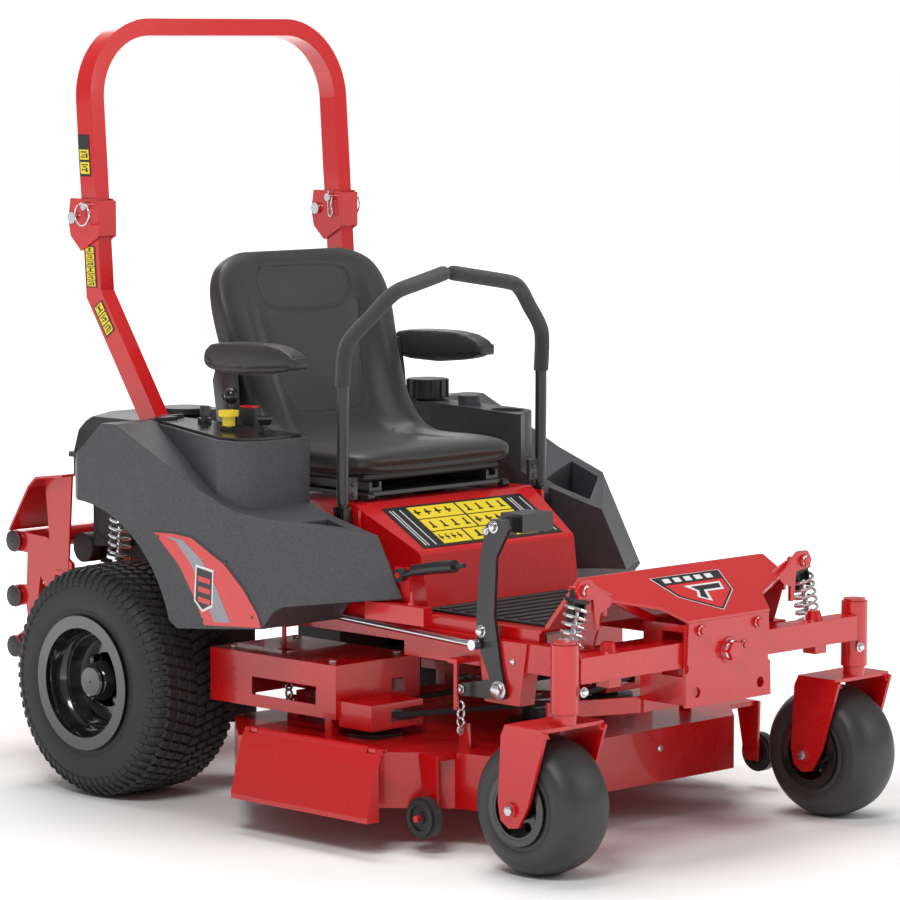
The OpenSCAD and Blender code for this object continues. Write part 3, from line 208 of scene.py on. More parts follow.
def finish_material(
    name, base, other, rough, tone=7.0, metallic=0.0, coat=0.0, coat_rough=0.04,
    grain=None, dust=0.0, sheen=0.0, glint=None, round_edge=0.0, seam=False, specular=0.5,
):
    """A Principled material with uneven tone, a height grain, and dust low down.
    grain is (group, scale, strength, distance)."""
    m = bpy.data.materials.new(name)
    m.use_nodes = True
    tree = m.node_tree
    tree.nodes.clear()
    out = tree.nodes.new("ShaderNodeOutputMaterial")
    shader = tree.nodes.new("ShaderNodeBsdfPrincipled")
    tree.links.new(shader.outputs[0], out.inputs[0])
    where = tree.nodes.new("ShaderNodeTexCoord").outputs["Object"]
    tone_node = add_group(
        tree, "Uneven Tone", where, Scale=tone, Base=(*base, 1), Other=(*other, 1),
        Rough_Low=rough[0], Rough_High=rough[1],
    )
    colour_out = tone_node.outputs["Color"]
    if grain:
        relief = add_group(tree, grain[0], where, Scale=grain[1])
        height = relief.outputs["Height"]
        if glint:
            colour_out = mixed(tree, relief.outputs["Glint"], colour_out, (*glint, 1))
    else:
        height = None
    # painted shade: the colour darkens to near black along the pressed grooves, as deep as they sink
    if seam:
        line = tree.nodes.new("ShaderNodeAttribute")
        line.attribute_name = "seam"
        colour_out = mixed(tree, line.outputs["Fac"], colour_out, (0.004, 0.004, 0.004, 1))
    if dust:
        mask = add_group(tree, "Low Dust", where, Amount=dust)
        colour_out = mixed(tree, mask.outputs["Mask"], colour_out, (0.3, 0.27, 0.23, 1))
    tree.links.new(colour_out, shader.inputs["Base Color"])
    tree.links.new(tone_node.outputs["Roughness"], shader.inputs["Roughness"])
    shader.inputs["Metallic"].default_value = metallic
    shader.inputs["Coat Weight"].default_value = coat
    shader.inputs["Coat Roughness"].default_value = coat_rough
    shader.inputs["Sheen Weight"].default_value = sheen
    shader.inputs["Specular IOR Level"].default_value = specular
    normal = None
    if round_edge:
        soft = tree.nodes.new("ShaderNodeBevel")
        soft.samples = 4
        soft.inputs["Radius"].default_value = round_edge
        normal = soft.outputs[0]
    if height is not None:
        bump = tree.nodes.new("ShaderNodeBump")
        bump.inputs["Strength"].default_value = grain[2]
        bump.inputs["Distance"].default_value = grain[3]
        tree.links.new(height, bump.inputs["Height"])
        if normal is not None:
            tree.links.new(normal, bump.inputs["Normal"])
        normal = bump.outputs[0]
    if normal is not None:
        tree.links.new(normal, shader.inputs["Normal"])
    return m


def scaled(c, k):
    return tuple(min(1.0, x * k) for x in c)


def make_materials(paint):
    red, moulded, vinyl, yellow = (tuple(getattr(paint, k)) for k in ("red", "moulded", "vinyl", "label"))
    f = finish_material

    def peel(scale, strength, distance):
        return ("Orange Peel", scale, strength, distance)

    def pebble(scale, strength, distance):
        return ("Pebble Grain", scale, strength, distance)

    f("red_powder_coat", red, scaled(red, 0.88), (0.24, 0.32), grain=peel(170.0, 0.12, 0.0004), coat=0.4,
      dust=0.02, round_edge=0.0018)
    f("moulded_plastic", moulded, scaled(moulded, 0.8), (0.42, 0.52), grain=pebble(620.0, 0.55, 0.0006),
      glint=scaled(moulded, 3.4), round_edge=0.004)
    f("black_enamel", (0.012, 0.012, 0.013), (0.017, 0.017, 0.018), (0.3, 0.42),
      grain=peel(260.0, 0.14, 0.0004), coat=0.25, coat_rough=0.15, dust=0.03, round_edge=0.0015)
    f("rim_gloss", (0.006, 0.006, 0.007), (0.009, 0.009, 0.01), (0.12, 0.2), coat=0.9,
      grain=peel(180.0, 0.08, 0.0004), dust=0.03, round_edge=0.002)
    f("gloss_plastic", (0.01, 0.01, 0.011), (0.016, 0.016, 0.017), (0.16, 0.26),
      grain=peel(300.0, 0.1, 0.0003), round_edge=0.001)
    f("satin_black_plastic", (0.016, 0.016, 0.017), (0.024, 0.024, 0.026), (0.36, 0.5),
      grain=pebble(900.0, 0.25, 0.0004), round_edge=0.002)
    # the seat vinyl takes painted shade in its pressed grooves
    f("seat_vinyl", vinyl, scaled(vinyl, 0.75), (0.36, 0.48), grain=pebble(420.0, 0.34, 0.0006),
      sheen=0.12, seam=True, tone=9.0)
    f("grip_foam", (0.05, 0.05, 0.052), (0.034, 0.034, 0.036), (0.86, 0.95),
      grain=pebble(800.0, 0.8, 0.0012), glint=(0.09, 0.09, 0.093), sheen=0.25, specular=0.25)
    f("tyre_rubber", (0.021, 0.021, 0.022), (0.03, 0.03, 0.031), (0.55, 0.72),
      grain=pebble(520.0, 0.35, 0.0007), dust=0.06, tone=14.0)
    f("caster_rubber", (0.026, 0.026, 0.028), (0.04, 0.04, 0.042), (0.36, 0.5),
      grain=pebble(420.0, 0.3, 0.0006), dust=0.06, tone=12.0)
    f("mat_rubber", (0.014, 0.014, 0.015), (0.02, 0.02, 0.021), (0.6, 0.75),
      grain=pebble(500.0, 0.5, 0.0008), dust=0.02, round_edge=0.0015)
    f("zinc_steel", (0.72, 0.72, 0.74), (0.6, 0.6, 0.62), (0.18, 0.32), metallic=1.0,
      grain=("Brushed Lines", 90.0, 0.1, 0.0003), round_edge=0.0008)
    f("spring_chrome", (0.86, 0.86, 0.88), (0.74, 0.74, 0.76), (0.14, 0.24), metallic=0.85, coat=0.4,
      grain=peel(300.0, 0.08, 0.0003))
    f("blade_steel", (0.42, 0.42, 0.43), (0.32, 0.32, 0.33), (0.3, 0.45), metallic=1.0,
      grain=("Brushed Lines", 60.0, 0.2, 0.0004), dust=0.05, round_edge=0.001)
    f("cast_casing", (0.06, 0.061, 0.064), (0.04, 0.04, 0.042), (0.5, 0.66), metallic=0.35,
      grain=pebble(260.0, 0.5, 0.001), dust=0.08, round_edge=0.0025)
    f("bare_alloy", (0.45, 0.45, 0.46), (0.36, 0.36, 0.37), (0.38, 0.52), metallic=0.9,
      grain=pebble(300.0, 0.3, 0.0008), round_edge=0.002)
    f("label_yellow", yellow, scaled(yellow, 0.94), (0.3, 0.38), grain=peel(220.0, 0.06, 0.0002))
    f("label_black", (0.012, 0.012, 0.012), (0.016, 0.016, 0.016), (0.26, 0.34),
      grain=peel(220.0, 0.06, 0.0002))
    f("decal_red", scaled(red, 1.1), red, (0.22, 0.3), coat=0.5, grain=peel(220.0, 0.05, 0.0002))
    f("decal_grey", (0.3, 0.3, 0.33), (0.26, 0.26, 0.29), (0.28, 0.36), grain=peel(220.0, 0.05, 0.0002))
    f("decal_white", (0.8, 0.8, 0.8), (0.74, 0.74, 0.74), (0.3, 0.38), grain=peel(220.0, 0.05, 0.0002))
    f("buckle_red", (0.72, 0.02, 0.015), (0.62, 0.015, 0.012), (0.3, 0.4),
      grain=peel(300.0, 0.1, 0.0003), round_edge=0.001)
    f("knob_yellow", (0.9, 0.66, 0.01), (0.84, 0.6, 0.01), (0.24, 0.34),
      grain=peel(260.0, 0.1, 0.0003), round_edge=0.0015)
    f("floor_white", (0.97, 0.97, 0.97), (0.96, 0.96, 0.96), (0.8, 0.9), tone=1.0, specular=0.0)


NODE_FINISH = {
    "red_powder_coat": "main_frame front_box front_cover foot_pan console_cover rops_legs rops_hoop rear_frame "
    "front_axle_beam caster_fork_right caster_fork_left deck_shell belt_covers discharge_chute height_selector",
    "moulded_plastic": "fender_right fender_left",
    "gloss_plastic": "control_panel choke_knob throttle_lever ignition_key",
    # the shock bodies are black partly for their own colour and partly as painted shade inside the coils
    "satin_black_plastic": "shock_bodies fuel_cap air_cleaner scalp_wheel_right scalp_wheel_left",
    "black_enamel": "lift_pedal seat_rails lever_pivot_right lever_pivot_left spindle_housings "
    "parking_brake",
    "rim_gloss": "caster_rim_right caster_rim_left rear_rim_right rear_rim_left",
    "zinc_steel": "rops_pins lift_rod front_shock_rods rear_shock_rods lift_chains",
    "spring_chrome": "front_springs rear_springs",
    "blade_steel": "blade_right blade_center blade_left",
    "cast_casing": "engine_block transaxles",
    "mat_rubber": "foot_mat drive_belts",
    "knob_yellow": "pto_knob",
}


def dress_nodes():
    """Puts each finish on its frame pieces."""
    for finish, names in NODE_FINISH.items():
        for name in names.split():
            o = frame["nodes"].get(name)
            if o is None:
                continue
            o.data.materials.clear()
            o.data.materials.append(bpy.data.materials[finish])


# ---------------------------------------------------------------- modelling helpers


def fresh():
    if bpy.context.object and bpy.context.object.mode != "OBJECT":
        bpy.ops.object.mode_set(mode="OBJECT")
    bpy.ops.object.select_all(action="DESELECT")


def only(o):
    fresh()
    o.select_set(True)
    bpy.context.view_layer.objects.active = o
    return o


def settle(o):
    """Puts a piece's place into its mesh."""
    only(o)
    bpy.ops.object.transform_apply(location=True, rotation=True, scale=True)
    return o


def apply_all(o):
    only(o)
    for m in list(o.modifiers):
        bpy.ops.object.modifier_apply(modifier=m.name)
    return o


def bevelled(o, width, segments=2, angle=0.6):
    if width > 0:
        b = o.modifiers.new("edge", "BEVEL")
        b.width = width * MM
        b.segments = segments
        b.limit_method = "ANGLE"
        b.angle_limit = angle
    return apply_all(o)


def smooth(o, angle=0.6):
    only(o)
    bpy.ops.object.shade_smooth_by_angle(angle=angle)
    return o


def painted(o, material, body):
    """Gives a piece its finish and that finish's slot, and lets it ride on a body."""
    o.data.materials.clear()
    o.data.materials.append(bpy.data.materials[material])
    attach(o, body)
    return o


def block(name, low, high, bevel=2.0, segments=2):
    """A box between two working corners, with eased edges."""
    fresh()
    lo, hi = at(*low), at(*high)
    bpy.ops.mesh.primitive_cube_add(size=1, location=(lo + hi) / 2, scale=hi - lo)
    o = bpy.context.object
    o.name = name
    settle(o)
    return smooth(bevelled(o, bevel, segments))


def plate(name, outline, axis, a, b, bevel=0.0):
    """An outline pushed from a to b along an axis; the outline is (y, z), (x, z) or (x, y)."""
    fresh()
    bpy.ops.mesh.primitive_circle_add(vertices=len(outline), radius=1, fill_type="NGON")
    o = bpy.context.object
    o.name = name
    for v, (p, q) in zip(o.data.vertices, outline):
        v.co = at(*{"x": (a, p, q), "y": (p, a, q), "z": (p, q, a)}[axis])
    bpy.ops.object.mode_set(mode="EDIT")
    bpy.ops.mesh.select_all(action="SELECT")
    push = {"x": (1, 0, 0), "y": (0, 1, 0), "z": (0, 0, 1)}[axis]
    bpy.ops.mesh.extrude_region_move(TRANSFORM_OT_translate={"value": Vector(push) * (b - a) * MM})
    bpy.ops.mesh.select_all(action="SELECT")
    bpy.ops.mesh.normals_make_consistent(inside=False)
    bpy.ops.object.mode_set(mode="OBJECT")
    return smooth(bevelled(o, bevel))


def lathe(name, profile, centre, steps=72):
    """A closed (radius, across) profile turned about an X axle through a row-frame point."""
    fresh()
    bpy.ops.mesh.primitive_circle_add(vertices=len(profile), radius=1, fill_type="NOTHING")
    o = bpy.context.object
    o.name = name
    for v, (r, x) in zip(o.data.vertices, profile):
        v.co = centre + Vector((x, 0, r)) * MM
    bpy.ops.object.mode_set(mode="EDIT")
    bpy.ops.mesh.select_all(action="SELECT")
    bpy.ops.mesh.spin(steps=steps, angle=math.tau, center=centre, axis=(1, 0, 0))
    bpy.ops.mesh.select_all(action="SELECT")
    bpy.ops.mesh.remove_doubles(threshold=0.00002)
    bpy.ops.mesh.normals_make_consistent(inside=False)
    bpy.ops.object.mode_set(mode="OBJECT")
    return smooth(o, 0.7)


def tube(name, points, radius, radii=None, smooth_steps=10):
    """A round tube along smooth working points."""
    fresh()
    bpy.ops.curve.primitive_bezier_curve_add()
    c = bpy.context.object
    c.name = name
    c.data.splines.clear()
    s = c.data.splines.new("BEZIER")
    s.bezier_points.add(len(points) - 1)
    for i, (b, p) in enumerate(zip(s.bezier_points, points)):
        b.co = at(*p)
        b.handle_left_type = b.handle_right_type = "AUTO"
        b.radius = radii[i] if radii else 1.0
    c.location = (0, 0, 0)
    c.data.dimensions = "3D"
    c.data.bevel_depth = radius
    c.data.bevel_resolution = 6
    c.data.resolution_u = smooth_steps
    c.data.use_fill_caps = True
    only(c)
    bpy.ops.object.convert(target="MESH")
    o = bpy.context.object
    only(o)
    bpy.ops.object.mode_set(mode="EDIT")
    bpy.ops.mesh.select_all(action="SELECT")
    bpy.ops.mesh.remove_doubles(threshold=0.00001)
    bpy.ops.mesh.normals_make_consistent(inside=False)
    bpy.ops.object.mode_set(mode="OBJECT")
    settle(o)
    return smooth(o, 0.9)


def joined(name, pieces):
    fresh()
    for p in pieces:
        p.select_set(True)
    bpy.context.view_layer.objects.active = pieces[0]
    bpy.ops.object.join()
    o = bpy.context.object
    o.name = name
    return o


def hex_bolt(place, normal, r, tall=None):
    """A flanged hex head whose foot is at a working point."""
    tall = tall or r * 0.8
    fresh()
    bpy.ops.mesh.primitive_cylinder_add(
        vertices=6, radius=r * MM, depth=tall * MM, location=(0, 0, tall * MM * 0.72)
    )
    head = bpy.context.object
    bevelled(head, r * 0.14, 2, 0.3)
    bpy.ops.mesh.primitive_cylinder_add(
        vertices=28, radius=r * 1.35 * MM, depth=r * 0.3 * MM, location=(0, 0, r * 0.15 * MM)
    )
    rim = bpy.context.object
    bevelled(rim, r * 0.08, 2, 0.6)
    o = joined("bolt", [head, rim])
    turn = Vector((0, 0, 1)).rotation_difference(Vector(normal)).to_matrix().to_4x4()
    o.matrix_world = Matrix.Translation(at(*place)) @ turn
    settle(o)
    return smooth(o, 0.5)


def sides(x):
    """Both hands of the machine, with the operator's right hand at -X."""
    return (("right", -x), ("left", x))


# ---------------------------------------------------------------- seat


SPINE = [  # station along Y, height, half width, half thickness, bolster rise
    (-167, 742, 178, 6, 0), (-164, 744, 205, 17, 0), (-154, 745, 224, 25, 0), (-136, 745, 238, 30, 2),
    (-100, 744, 247, 32, 6), (-40, 742, 250, 30, 12), (30, 739, 250, 28, 17), (90, 740, 249, 28, 24),
    (140, 752, 246, 30, 34), (182, 786, 240, 31, 42), (212, 838, 238, 30, 44), (236, 900, 242, 29, 42),
    (258, 975, 252, 29, 34), (275, 1045, 259, 28, 26), (290, 1100, 254, 27, 18), (300, 1138, 236, 24, 10),
    (306, 1160, 208, 18, 4), (309, 1172, 176, 11, 0), (311, 1177, 150, 4, 0),
]


def spline(rows, steps):
    """Catmull-Rom through rows of numbers."""
    p = np.array(rows, float)
    p = np.vstack([2 * p[0] - p[1], p, 2 * p[-1] - p[-2]])
    out = []
    for i in range(1, len(p) - 2):
        for t in np.linspace(0, 1, steps, endpoint=False):
            a, b, c, d = p[i - 1 : i + 3]
            square, cube = 2 * a - 5 * b + 4 * c - d, 3 * b - a - 3 * c + d
            out.append(0.5 * (2 * b + (c - a) * t + square * t**2 + cube * t**3))
    out.append(p[-2])
    return np.array(out)


def ease(t):
    t = np.clip(t, 0, 1)
    return t * t * (3 - 2 * t)


def closed_loft(name, rings):
    """Quads between rings of equal length, closed at both ends."""
    n = len(rings[0])
    verts = [tuple(p) for ring in rings for p in ring]
    faces = [
        (i * n + j, i * n + (j + 1) % n, (i + 1) * n + (j + 1) % n, (i + 1) * n + j)
        for i in range(len(rings) - 1)
        for j in range(n)
    ]
    faces += [tuple(reversed(range(n))), tuple(range((len(rings) - 1) * n, len(rings) * n))]
    mesh = bpy.data.meshes.new(name)
    mesh.from_pydata(verts, [], faces)
    o = bpy.data.objects.new(name, mesh)
    bpy.context.scene.collection.objects.link(o)
    only(o)
    bpy.ops.object.mode_set(mode="EDIT")
    bpy.ops.mesh.select_all(action="SELECT")
    bpy.ops.mesh.normals_make_consistent(inside=False)
    bpy.ops.object.mode_set(mode="OBJECT")
    return o


def seat_loft():
    rows = spline(SPINE, 4)
    tangent = np.gradient(rows[:, :2], axis=0)
    tangent /= np.linalg.norm(tangent, axis=1)[:, None]
    rings, count = [], 72
    for (y, z, w, h, b), (ty, tz) in zip(rows, tangent):
        ring = []
        for j in range(count):
            a = math.tau * j / count
            ca, sa = math.cos(a), math.sin(a)
            x = w * math.copysign(abs(ca) ** 0.62, ca)
            n = h * math.copysign(abs(sa) ** 0.55, sa)
            if n > 0:
                n += b * float(ease((abs(x) / w - 0.5) / 0.3)) * (abs(sa) ** 0.35)
                n -= min(h, 14) * 0.35 * (1 - (x / w) ** 2)
            ring.append(at(x, y - tz * n, z + ty * n))
        rings.append(ring)
    return closed_loft("seat_bucket", rings)


def polyline_distance(points, line):
    best = np.full(len(points), 1e9)
    for a, b in zip(line[:-1], line[1:]):
        a, b = np.array(a, float), np.array(b, float)
        d = b - a
        t = np.clip(((points - a) @ d) / (d @ d), 0, 1)
        best = np.minimum(best, np.linalg.norm(points - (a + t[:, None] * d), axis=1))
    return best


def rounded(points, times=2):
    """A polyline with its corners cut, its two ends kept."""
    p = [np.array(q, float) for q in points]
    for _ in range(times):
        out = [p[0]]
        for a, b in zip(p[:-1], p[1:]):
            out += [a * 0.75 + b * 0.25, a * 0.25 + b * 0.75]
        p = out + [p[-1]]
    return p


def press_seams(o, lines, front, width, depth):
    """Sinks the surface along lines given in (x, z) on the faces that front() picks."""
    me = o.data
    co = np.empty(len(me.vertices) * 3)
    me.vertices.foreach_get("co", co)
    co = co.reshape(-1, 3)
    no = np.empty(len(me.vertices) * 3)
    me.vertices.foreach_get("normal", no)
    no = no.reshape(-1, 3)
    work = co / MM - np.array([0, DATUM, 0])
    mask = front(work, no)
    total = np.zeros(len(co))
    for plane, line in lines:
        flat = work[:, [0, 2]] if plane == "xz" else work[:, [0, 1]]
        which = no[:, 1] < -0.2 if plane == "xz" else no[:, 2] > 0.3
        d = polyline_distance(flat, line)
        total = np.maximum(total, np.where(mask & which, np.exp(-((d / width) ** 2)), 0))
    co -= no * (total * depth * MM)[:, None]
    me.vertices.foreach_set("co", co.ravel())
    # painted shade mask: darkest at the bottom of each groove
    seam = me.attributes.new("seam", "FLOAT", "POINT")
    seam.data.foreach_set("value", (total**2 * 0.85).astype(np.float32))
    me.update()


def make_seat():
    o = seat_loft()
    sub = o.modifiers.new("round", "SUBSURF")
    sub.levels = sub.render_levels = 2
    apply_all(o)
    head = rounded([
        (-118, 1146), (118, 1146), (140, 1120), (128, 1066), (80, 1048), (-80, 1048), (-128, 1066), (-140, 1120),
        (-118, 1146),
    ])
    back = rounded([
        (-152, 1062), (-132, 940), (-112, 846), (-92, 826), (92, 826), (112, 846), (132, 940), (152, 1062),
    ])
    sides_line = rounded([(-150, -60), (-158, 60), (-140, 120)])
    lines = [("xz", head), ("xz", back), ("xy", sides_line), ("xy", [(-p[0], p[1]) for p in sides_line])]
    press_seams(o, lines, lambda w, n: (w[:, 1] < 330), 3.2, 2.6)
    smooth(o, 3.1)
    painted(o, "seat_vinyl", "seat")
    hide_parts("seat")
    # hard pan under the cushion, its ribs and the feet on the rails
    pan = block("seat_pan", (-206, -142, 704), (206, 214, 722), 6, 3)
    ribs = [block("rib", (s * 178 - 10, -132, 692), (s * 178 + 10, 208, 706), 2) for s in (-1, 1)]
    feet = [
        block("foot", (min(s * 212, s * 258), 84, 702), (max(s * 212, s * 258), 138, 720), 3) for s in (-1, 1)
    ]
    painted(joined("seat_base", [pan, *ribs, *feet]), "satin_black_plastic", "seat")
    for name, x in sides(1):
        arm = plate(
            f"armrest_bracket_{name}",
            [(192, 738), (262, 752), (286, 900), (262, 974), (220, 974), (206, 900)],
            "x", min(x * 249, x * 258), max(x * 249, x * 258), 2.5,
        )
        bolts = [hex_bolt((x * 258, y, z), (x, 0, 0), 6) for y, z in ((226, 770), (250, 866))]
        painted(joined(f"armrest_bracket_{name}", [arm, *bolts]), "black_enamel", "seat")


ARM_PROFILE = [
    (261, 952), (256, 972), (238, 986), (205, 991), (130, 994), (60, 994), (16, 988), (-16, 976), (-30, 962),
    (-24, 948), (0, 937), (50, 930), (130, 924), (205, 925), (242, 932), (256, 940),
]


def make_armrests():
    for name, x in sides(1):
        lo, hi = sorted((x * 261, x * 309))
        pad = plate(f"armrest_pad_{name}", ARM_PROFILE, "x", lo, hi, 0)
        only(pad)
        rm = pad.modifiers.new("even", "REMESH")
        rm.mode = "VOXEL"
        rm.voxel_size = 0.005
        apply_all(pad)
        swell(pad, 0.005, 2.0)
        sub = pad.modifiers.new("round", "SUBSURF")
        sub.levels = sub.render_levels = 1
        apply_all(pad)
        seam = rounded([(-14, 948), (60, 942), (150, 936), (215, 938), (252, 948)])
        press_arm(pad, seam)
        smooth(pad, 3.1)
        painted(pad, "seat_vinyl", f"armrest_{name}")
        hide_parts(f"armrest_{name}")
        tip = block(f"tip_{name}", (lo + 2, -31, 944), (hi - 2, -8, 968), 5, 3)
        bolt = hex_bolt((x * 310, 236, 950), (x, 0, 0), 7)
        hub = hex_bolt((x * 310, 16, 962), (x, 0, 0), 4.5)
        painted(tip, "satin_black_plastic", f"armrest_{name}")
        bolts = joined(f"armrest_bolts_{name}", [bolt, hub])
        painted(bolts, "black_enamel", f"armrest_{name}")


def swell(o, cap, pressure):
    """Blows a closed shape up like a stuffed cover, no point further than cap from where it was."""
    rest = np.array([v.co[:] for v in o.data.vertices])
    only(o)
    bpy.ops.object.modifier_add(type="CLOTH")
    cloth = o.modifiers[-1]
    cloth.settings.use_pressure = True
    cloth.settings.uniform_pressure_force = pressure
    cloth.settings.effector_weights.gravity = 0
    cloth.settings.tension_stiffness = cloth.settings.compression_stiffness = 40
    scene = bpy.context.scene
    for f in range(1, 16):
        scene.frame_set(f)
    apply_all(o)
    scene.frame_set(1)
    now = np.array([v.co[:] for v in o.data.vertices])
    move = now - rest
    far = np.linalg.norm(move, axis=1)
    k = np.where(far > cap, cap / np.maximum(far, 1e-9), 1.0)
    o.data.vertices.foreach_set("co", (rest + move * k[:, None]).ravel())
    o.data.update()


def press_arm(o, line):
    """Sinks a seam given in (y, z) into both sides of an armrest."""
    me = o.data
    co = np.array([v.co[:] for v in me.vertices])
    no = np.array([v.normal[:] for v in me.vertices])
    work = co / MM - np.array([0, DATUM, 0])
    d = polyline_distance(work[:, [1, 2]], line)
    total = np.where(np.abs(no[:, 0]) > 0.3, np.exp(-((d / 2.6) ** 2)), 0)
    co -= no * (total * 1.8 * MM)[:, None]
    me.vertices.foreach_set("co", co.ravel())
    # painted shade mask: darkest at the bottom of the groove
    seam = me.attributes.new("seam", "FLOAT", "POINT")
    seam.data.foreach_set("value", (total**2 * 0.85).astype(np.float32))
    me.update()


# ---------------------------------------------------------------- control levers


def make_levers(sizes):
    g, r = sizes.grip_radius, sizes.lever_radius
    for name, s in sides(1):
        shaft = [(s * 302, -176, 668), (s * 302, -177, 760), (s * 302, -178, 860), (s * 302, -178, 930)]
        post = tube(f"lever_tube_{name}", shaft, r, smooth_steps=4)
        eye = block(f"eye_{name}", (min(s * 294, s * 310), -182, 642), (max(s * 294, s * 310), -168, 676), 3)
        fish = plate(f"plate_{name}", [(-181, 674), (-172, 674), (-172, 722), (-181, 722)], "x",
                     min(s * 262, s * 302), max(s * 262, s * 302), 1.5)
        heads = [hex_bolt((s * 276, -181, z), (0, -1, 0), 5.5) for z in (686, 708)]
        post = joined(f"lever_tube_{name}", [post, eye, fish, *heads])
        painted(post, "black_enamel", f"lever_{name}")
        path = [
            (s * 302, -178, 917), (s * 302, -178, 920), (s * 302, -180, 950), (s * 301, -182, 982), (s * 296, -185, 1004),
            (s * 284, -189, 1022), (s * 240, -202, 1064), (s * 198, -214, 1104), (s * 180, -217, 1115),
            (s * 158, -216, 1121), (s * 130, -212, 1126), (s * 70, -201, 1136), (s * 16, -190, 1145),
            (s * 10, -189, 1146), (s * 6.5, -188.5, 1146.6), (s * 5, -188.3, 1146.8),
        ]
        radii = [0.9, 1.0, 1.0, 1.0, 1.0, 1.0, 1.0, 1.0, 1.0, 1.0, 1.0, 1.0, 1.0, 0.94, 0.8, 0.55]
        grip = tube(f"lever_grip_{name}", path, g, radii, 6)
        painted(grip, "grip_foam", f"lever_{name}")
        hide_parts(f"control_lever_{name}")


# ---------------------------------------------------------------- wheels


def copies(name, base, matrices):
    """One mesh made of many placed copies of a base piece, which is removed."""
    me = base.data
    co = np.array([v.co[:] for v in me.vertices])
    polys = [tuple(p.vertices) for p in me.polygons]
    verts, faces = [], []
    for m in matrices:
        m = np.array(m)
        k = len(verts)
        verts += [tuple(p) for p in co @ m[:3, :3].T + m[:3, 3]]
        faces += [tuple(i + k for i in p) for p in polys]
    mesh = bpy.data.meshes.new(name)
    mesh.from_pydata(verts, [], faces)
    o = bpy.data.objects.new(name, mesh)
    bpy.context.scene.collection.objects.link(o)
    bpy.data.objects.remove(base)
    return o


def crown(a):
    """Tread radius in mm at a distance a from the tyre's middle."""
    a = abs(a)
    return 254 - 4.5 * (a / 90) ** 2 if a < 90 else 249.5 - 26 * ((a - 90) / 34) ** 2


def tread_block(wide, long, tall):
    """One tread block in mm, narrower at its outer face."""
    fresh()
    bpy.ops.mesh.primitive_cube_add(size=1, scale=(wide * MM, long * MM, tall * MM))
    o = settle(bpy.context.object)
    for v in o.data.vertices:
        if v.co.z > 0:
            v.co.x *= 0.88
            v.co.y *= 0.82
    return o


# Blocks round the rear tyre in one row, and the rows' distances from its middle
PITCH = 66
TREAD_ROWS = (-81, -54, -27, 0, 27, 54, 81)
# Shoulder rows: distance from the middle, radius, lean and width
SHOULDER_ROWS = ((101, 245.5, 0.35, 20), (113, 236, 0.85, 17), (121, 221, 1.25, 17))
# Circle of the four wheel nuts, radius of one, and its height
NUT_CIRCLE, NUT_R, NUT_TALL = 58, 11.5, 18


